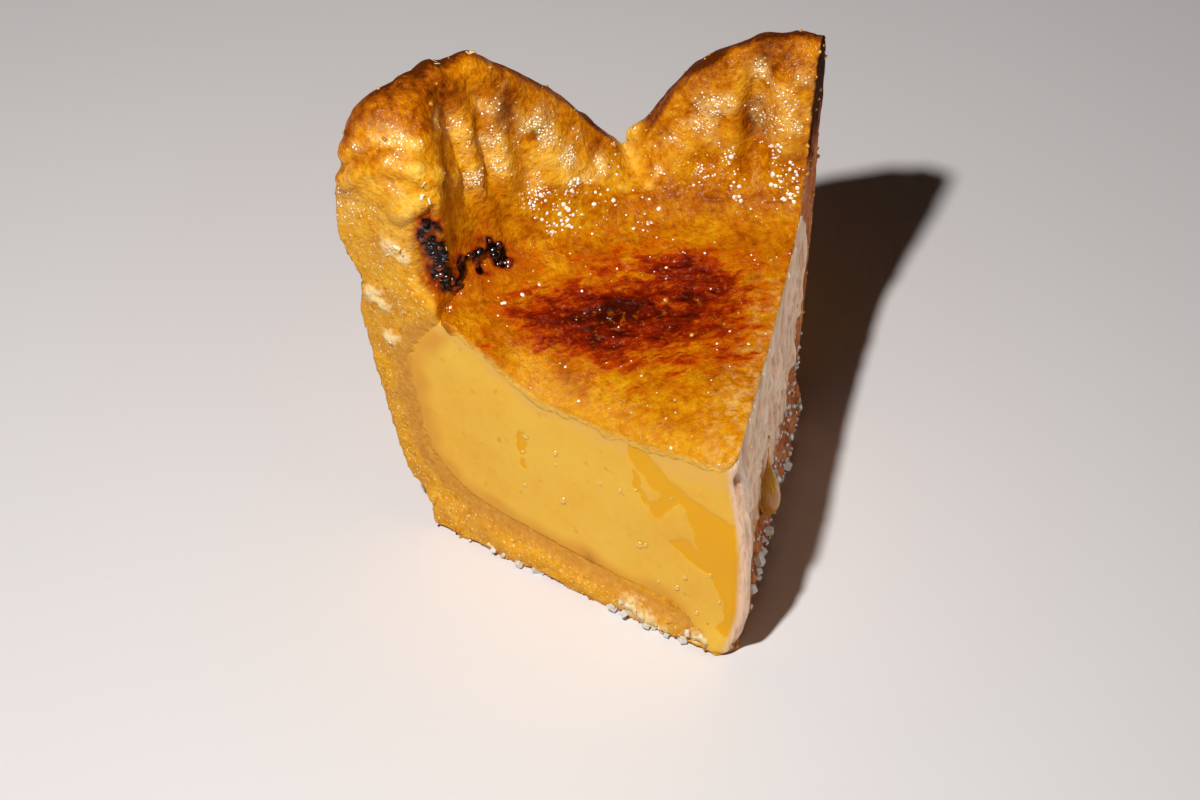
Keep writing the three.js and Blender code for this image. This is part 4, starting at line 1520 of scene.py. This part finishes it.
def make_blisters():
    """Burnt tar: black and hard, with a sharp gleam, and dark red where it is thin."""
    rng = np.random.default_rng(66)
    material, tree = new_material("black_burnt_sugar_blister")
    tone = speckle(tree, 1.2, 2.0).into("ShaderNodeValToRGB", stops=(
        (0.42, "#060201"), (0.54, "#300c02"), (0.64, "#7c2604"),
    ))
    set_surface(
        tree, Base_Color=tone, Roughness=0.3, IOR=1.5, Coat_Weight=1.0, Coat_Roughness=0.1, Coat_IOR=1.6
    )
    hosts = [
        chosen(host, smooth(read_kept(host, "char"), 0.35, 0.7), count, BLISTER_SPACING, seed)
        for host, count, seed in ((crust, BLISTER_COUNT, 67), (sheet, BLISTER_COUNT // 5, 68))
    ]
    points = np.vstack([h[0] for h in hosts])
    ups = SKIN_LEAN * np.vstack([h[1] for h in hosts]) + DROP_LEAN
    ups = ups + rng.normal(0, BLISTER_TILT, (len(points), 3))
    width = rng.uniform(*BLISTER_WIDTH, len(points))
    sizes = np.column_stack((width, width * rng.uniform(0.4, 0.9, len(points)), width * BLISTER_HEIGHT))
    spins = rng.uniform(0, FULL_TURN, len(points))
    set_in_place("char_blisters", "burnt_sugar", make_drop_shape(), material, points, ups, sizes, spins)


make_blisters()

# %% [markdown]
# ## Bubbles in the cut custard
#
# Air that the knife opened leaves small round blisters with a wet rim. They are too small for the custard's
# own mesh, so each is a shallow dome of its own, set on the cut.

# %% Bubbles
# Distance along the left cut, height and width in mm.
BUBBLES = (
    (31.4, 25.5, 1.1), (26.9, 24.8, 0.9), (26.9, 22.5, 0.6), (25.7, 16.3, 1.1), (31.7, 15.8, 0.7),
    (20.0, 22.9, 0.7), (17.0, 23.3, 0.7), (13.9, 14.5, 1.1), (13.0, 15.0, 0.8), (6.9, 12.3, 0.9),
    (8.1, 9.4, 0.9), (11.0, 8.8, 0.5), (3.2, 14.9, 0.7), (1.7, 10.5, 0.7), (5.0, 6.2, 0.8),
    (31.9, 22.2, 0.6), (14.6, 24.8, 0.5), (9.2, 26.4, 0.5),
)
BUBBLE_HEIGHT = 0.5


def on_surface(obj, points):
    """The nearest points of a piece and its outward directions there."""
    tree = search_tree(obj)
    hits = [tree.find_nearest(Vector(p)) for p in points]
    return np.array([h[0] for h in hits]), np.array([h[1] for h in hits])


def make_bubbles():
    """A wet skin of custard over air: its gleam is wide and soft."""
    material, tree = new_material("wet_custard_bubble")
    set_surface(
        tree, Base_Color=colour("#eeb230"), Roughness=0.3, IOR=1.5, Coat_Weight=1.0, Coat_Roughness=0.25,
        Coat_IOR=1.9, Subsurface_Weight=0.3, Subsurface_Scale=0.001,
    )
    places = np.array([left_cut_point(along, height) for along, height, _ in BUBBLES])
    points, ups = on_surface(custard, places)
    ups = ups * 0.8 + DROP_LEAN * 0.4
    width = np.array([w for _, _, w in BUBBLES])
    sizes = np.column_stack((width, width, width * BUBBLE_HEIGHT))
    set_in_place("custard_bubbles", "custard", make_drop_shape(), material, points, ups, sizes, width)


make_bubbles()

# %% [markdown]
# ## Sugar crystals
#
# Coarse sugar was pressed into the dough and clings to the foot of both cuts. A crystal is a small block with
# worn edges. It lets some light through, so it looks grey in the shade and white in the sun.

# %% Crystals
# Distance along the cut, height and width in mm.
LEFT_CRYSTALS = (
    (32.2, 1.0, 1.0), (29.6, 1.1, 1.3), (28.7, 0.8, 0.7), (17.4, 0.9, 1.2), (16.6, 0.6, 0.7),
    (15.1, 0.9, 1.4), (12.0, 0.8, 1.0), (10.9, 0.6, 0.6), (6.4, 0.9, 1.2), (5.9, 2.6, 0.9), (8.9, 1.2, 0.7),
    (21.5, 0.6, 0.6), (36.1, 1.4, 0.8), (34.6, 0.8, 0.6),
)
RIGHT_CRYSTALS = (
    (9.4, 3.2, 1.2), (12.8, 2.6, 1.0), (14.6, 3.4, 1.7), (13.8, 1.4, 0.8), (17.2, 2.4, 1.0), (20.4, 3.0, 1.2),
    (22.6, 4.6, 1.0), (8.2, 1.4, 0.7), (25.5, 3.2, 1.3), (29.0, 4.0, 1.0), (33.0, 3.0, 1.2), (37.5, 3.6, 1.0),
)
SMALL_CRYSTALS = 170
SMALL_CRYSTAL_SPACING = 0.7
CRYSTAL_BEVEL = 0.14


def make_crystal_shape():
    """A cube, 1 across, with its edges worn off."""
    work = bmesh.new()
    bmesh.ops.create_cube(work, size=1.0)
    bmesh.ops.bevel(work, geom=work.edges[:], offset=CRYSTAL_BEVEL, segments=1, affect="EDGES")
    return shape_from(work, "crystal_shape")


def make_crystals():
    """Coarse sugar: clear inside, worn dull at the edges, with flat faces that catch the lamp."""
    rng = np.random.default_rng(71)
    places = [left_cut_point(along, height, 0.5) for along, height, _ in LEFT_CRYSTALS]
    places += [right_cut_point(along, height, 0.4) for along, height, _ in RIGHT_CRYSTALS]
    width = np.array([w for _, _, w in LEFT_CRYSTALS + RIGHT_CRYSTALS])
    points, ups = on_surface(crust, np.array(places))
    place = Place(read_points(crust))
    low_right = smooth(place.from_right, 1.2, 0.2) * smooth(place.z, 16.0, 2.0)
    low_right *= smooth(place.along_right, 8, 14)
    low_left = smooth(place.from_left, 1.0, 0.0) * smooth(place.z, 2.2, 0.8) * 0.10
    more, more_ups = chosen(crust, low_right + low_left, SMALL_CRYSTALS, SMALL_CRYSTAL_SPACING, 72)
    points = np.vstack((points + ups * (0.3 * width)[:, None], more + more_ups * 0.12))
    ups = np.vstack((ups, more_ups)) + rng.normal(0, 0.35, (len(points), 3))
    width = np.concatenate((width, rng.uniform(0.3, 0.65, len(more))))
    sizes = width[:, None] * rng.uniform(0.7, 1.1, (len(points), 3))
    material, tree = new_material("clear_sugar_crystal")
    set_surface(
        tree, Base_Color=colour("#fbf6ec"), Roughness=0.14, IOR=1.5, Transmission_Weight=0.3,
        Coat_Weight=0.6, Coat_Roughness=0.12,
    )
    spins = rng.uniform(0, FULL_TURN, len(points))
    shape = make_crystal_shape()
    crystals = set_in_place("sugar_crystals", "coarse_sugar", shape, material, points, ups, sizes, spins)
    crystals.data.polygons.foreach_set("use_smooth", [False] * len(crystals.data.polygons))


make_crystals()

# %% [markdown]
# ## Flakes and crumbs
#
# Where the crust broke, thin pale layers of pastry lift off, and crumbs hang on the foot. A flake is a bent
# plate, a crumb is an uneven ball; both are turned and sized at random round their places.

# %% Flakes and crumbs
# Distance along the left cut, height, length and how many flakes lie there.
FOOT_FLAKES = (
    (15.4, 2.5, 1.3, 1), (14.2, 2.6, 2.0, 1), (12.8, 2.2, 2.4, 2), (11.2, 1.7, 2.0, 1), (10.0, 1.2, 1.5, 2),
    (8.4, 0.9, 1.1, 1), (7.0, 0.8, 1.0, 1), (4.8, 2.2, 1.7, 1), (3.6, 1.7, 1.8, 1), (2.2, 1.3, 1.1, 1),
    (36.0, 1.4, 1.3, 2),
)
# Angle, radius, height, length and how many.
RIM_FLAKES = (
    (-33.3, 46.6, 60.2, 1.2, 2), (-32.6, 46.3, 59.2, 0.9, 1), (-13.2, 57.0, 66.4, 0.9, 2),
    (-18.9, 57.0, 67.0, 0.9, 2), (6.2, 52.0, 46.4, 0.8, 2), (-30.2, 45.9, 49.6, 0.7, 1),
)
CUT_FLAKE_COUNT = 16
FOOT_TILT = 0.12
LOOSE_TILT = 0.28
FOOT_SPIN = -0.95
CRUMB_COUNT = 240
CRUMB_SPACING = 0.6


def make_flake_shape():
    """A small bent plate with ragged corners, about 1 long, 0.6 wide and 0.12 thick."""
    work = bmesh.new()
    top = {}
    under = {}
    for i in range(4):
        for j in range(3):
            x = (i - 1.5) / 3
            y = (j - 1) * (0.30 - 0.08 * ((i * 7 + j * 5) % 3))
            z = 0.22 * x * x - 0.25 * y * y
            top[i, j] = work.verts.new((x, y, z + 0.05))
            under[i, j] = work.verts.new((x * 0.94, y * 0.9, z - 0.05))
    for i in range(3):
        for j in range(2):
            work.faces.new((top[i, j], top[i + 1, j], top[i + 1, j + 1], top[i, j + 1]))
            work.faces.new((under[i, j], under[i, j + 1], under[i + 1, j + 1], under[i + 1, j]))
    border = [(i, 0) for i in range(4)] + [(3, j) for j in (1, 2)] + [(i, 2) for i in (2, 1, 0)] + [(0, 1)]
    for here, there in zip(border, border[1:] + border[:1]):
        work.faces.new((top[here], under[here], under[there], top[there]))
    return shape_from(work, "flake_shape")


def make_crumb_shape():
    """A ball, about 1 across, with lumps and hollows."""
    work = bmesh.new()
    bmesh.ops.create_icosphere(work, subdivisions=2, radius=0.5)
    for vert in work.verts:
        x, y, z = vert.co
        vert.co *= 0.82 + 0.3 * math.sin(9 * x + 2) * math.sin(8 * y + 1) * math.cos(7 * z)
    return shape_from(work, "crumb_shape")


def make_flakes():
    """Pastry from inside the crust: paler and duller than its skin, and thin enough to glow."""
    rng = np.random.default_rng(81)
    places, lengths = [], []
    for along, height, length, count in FOOT_FLAKES:
        for _ in range(count):
            along_cut = along + rng.normal(0, 0.6)
            places.append(left_cut_point(along_cut, max(height + rng.normal(0, 0.3), 0.3), 0.3))
            lengths.append(length * rng.uniform(0.6, 1.1))
    for angle, radius, height, length, count in RIM_FLAKES:
        for _ in range(count):
            places.append(pie_point(angle, radius, height) + rng.normal(0, 0.35, 3))
            lengths.append(length * rng.uniform(0.7, 1.1))
    points, ups = on_surface(crust, np.array(places))
    more, more_ups = chosen(crust, smooth(read_kept(crust, "flaky"), 0.3, 0.9), CUT_FLAKE_COUNT, 0.8, 82)
    points = np.vstack((points + ups * 0.12, more + more_ups * 0.05))
    length = np.concatenate((lengths, rng.uniform(0.6, 1.3, len(more))))
    at_foot = sum(count for *_, count in FOOT_FLAKES)
    # The flakes of the foot lie flatter and are broader.
    tilt = np.where(np.arange(len(points)) < at_foot, FOOT_TILT, LOOSE_TILT)[:, None]
    ups = np.vstack((ups, more_ups)) + tilt * rng.normal(0, 1, (len(points), 3))
    broad = rng.uniform(0.7, 1.3, len(points))
    broad[:at_foot] *= 1.2
    thick = rng.uniform(0.5, 1.0, len(points))
    sizes = length[:, None] * np.column_stack((np.ones(len(points)), broad, thick))
    material, tree = new_material("pale_pastry_flake")
    tone = speckle(tree, 1.2, 3.0).into("ShaderNodeValToRGB", stops=(
        (0.35, "#f0c47c"), (0.5, "#f6d698"), (0.65, "#fae6bc"),
    ))
    set_surface(
        tree, Base_Color=tone, Roughness=0.45, IOR=1.45, Coat_Weight=0.2, Coat_Roughness=0.2,
        Subsurface_Weight=0.2, Subsurface_Scale=0.0005,
    )
    # The layers of the foot lie along the cut; everywhere else they lie as they fell.
    spins = rng.uniform(0, FULL_TURN, len(points))
    spins[:at_foot] = FOOT_SPIN + rng.normal(0, 0.35, at_foot)
    set_in_place("pastry_flakes", "baked_crust", make_flake_shape(), material, points, ups, sizes, spins)


def make_crumbs():
    """Crumbs of browned shortcrust: rough little balls, darker than the flakes."""
    rng = np.random.default_rng(91)
    place = Place(read_points(crust))
    foot = smooth(place.z, 2.4, 0.6) * smooth(np.minimum(place.from_left, place.from_right), 1.0, 0.0)
    crest = crest_height(place.angle)
    on_crest = 0.10 * smooth(place.z, crest - 2.5, crest - 0.5)
    low_cut = 0.12 * smooth(place.from_right, 0.8, 0.1)
    points, ups = chosen(crust, foot + on_crest + low_cut, CRUMB_COUNT, CRUMB_SPACING, 92)
    width = rng.uniform(0.3, 0.9, len(points)) ** 1.3
    sizes = width[:, None] * rng.uniform(0.7, 1.2, (len(points), 3))
    material, tree = new_material("pastry_crumb")
    tone = speckle(tree, 2.5, 2.0).into("ShaderNodeValToRGB", stops=(
        (0.35, "#b06a14"), (0.5, "#d0902c"), (0.65, "#e8b858"),
    ))
    set_surface(tree, Base_Color=tone, Roughness=0.5, IOR=1.45, Coat_Weight=0.2, Coat_Roughness=0.2)
    spins = rng.uniform(0, FULL_TURN, len(points))
    set_in_place("pastry_crumbs", "baked_crust", make_crumb_shape(), material, points, ups, sizes, spins)


make_flakes()
make_crumbs()

# %% [markdown]
# ## The drip
#
# One tear of syrup has run down the right cut and set there. It is a thread at the top and a full drop at
# the bottom, half sunk into the custard, clear enough that its rim lights up.

# %% Drip
# Distance along the right cut and height.
DRIP_TOP = (24.6, 17.5)
DRIP_END = (21.6, 5.2)
DRIP_WIDTH = 2.9
DRIP_THREAD = 0.11
# How far down it is widest, as a share of its length.
DRIP_WIDEST = 0.78
DRIP_RINGS = 26
DRIP_SIDES = 20


def drip_radius(share):
    """The drip's half width from its top (0) to its end (1)."""
    thread = DRIP_THREAD + 0.10 * share
    # From its widest place down, the drop ends in a half circle.
    past = max(0.0, (share - DRIP_WIDEST) / (1 - DRIP_WIDEST))
    belly = 0.5 * DRIP_WIDTH * smooth(share, 0.25, DRIP_WIDEST) * math.sqrt(max(0.0, 1 - past**2))
    return max(thread * (1 - smooth(share, 0.5, 0.7)) + belly, 0.02)


def make_drip():
    """Clear thick syrup: light passes through it and lights up its rim."""
    material, tree = new_material("clear_syrup_drip")
    set_surface(
        tree, Base_Color=colour("#f6c44c"), Roughness=0.06, IOR=1.38, Transmission_Weight=0.7,
        Coat_Weight=1.0, Coat_Roughness=0.05,
    )
    ahead = right_cut_point(1.0, 0.0)
    turns = np.linspace(0, 2 * math.pi, DRIP_SIDES, endpoint=False)
    circle = np.outer(np.cos(turns), RIGHT_CUT) + np.outer(np.sin(turns), ahead)
    rings = []
    for share in np.arange(DRIP_RINGS + 1) / DRIP_RINGS:
        radius = float(drip_radius(share))
        along = DRIP_TOP[0] + (DRIP_END[0] - DRIP_TOP[0]) * share
        height = DRIP_TOP[1] + (DRIP_END[1] - DRIP_TOP[1]) * share
        rings.append(right_cut_point(along, height, 0.35 * radius + 0.25 + 0.6 * share) + radius * circle)
    verts = np.vstack(rings)
    faces = [tuple(range(DRIP_SIDES))]
    last_ring = DRIP_RINGS * DRIP_SIDES
    for ring in range(0, last_ring, DRIP_SIDES):
        for side in range(DRIP_SIDES):
            a = ring + side
            b = ring + (side + 1) % DRIP_SIDES
            faces.append((a, a + DRIP_SIDES, b + DRIP_SIDES, b))
    faces.append(tuple(reversed(range(last_ring, last_ring + DRIP_SIDES))))
    work = bmesh.new()
    mesh = bpy.data.meshes.new("syrup_drip")
    mesh.from_pydata(((verts + AXIS) * MM).tolist(), [], faces)
    work.from_mesh(mesh)
    bmesh.ops.recalc_face_normals(work, faces=work.faces)
    work.to_mesh(mesh)
    work.free()
    finish_piece(add_object("syrup_drip", mesh), material, "syrup")


make_drip()
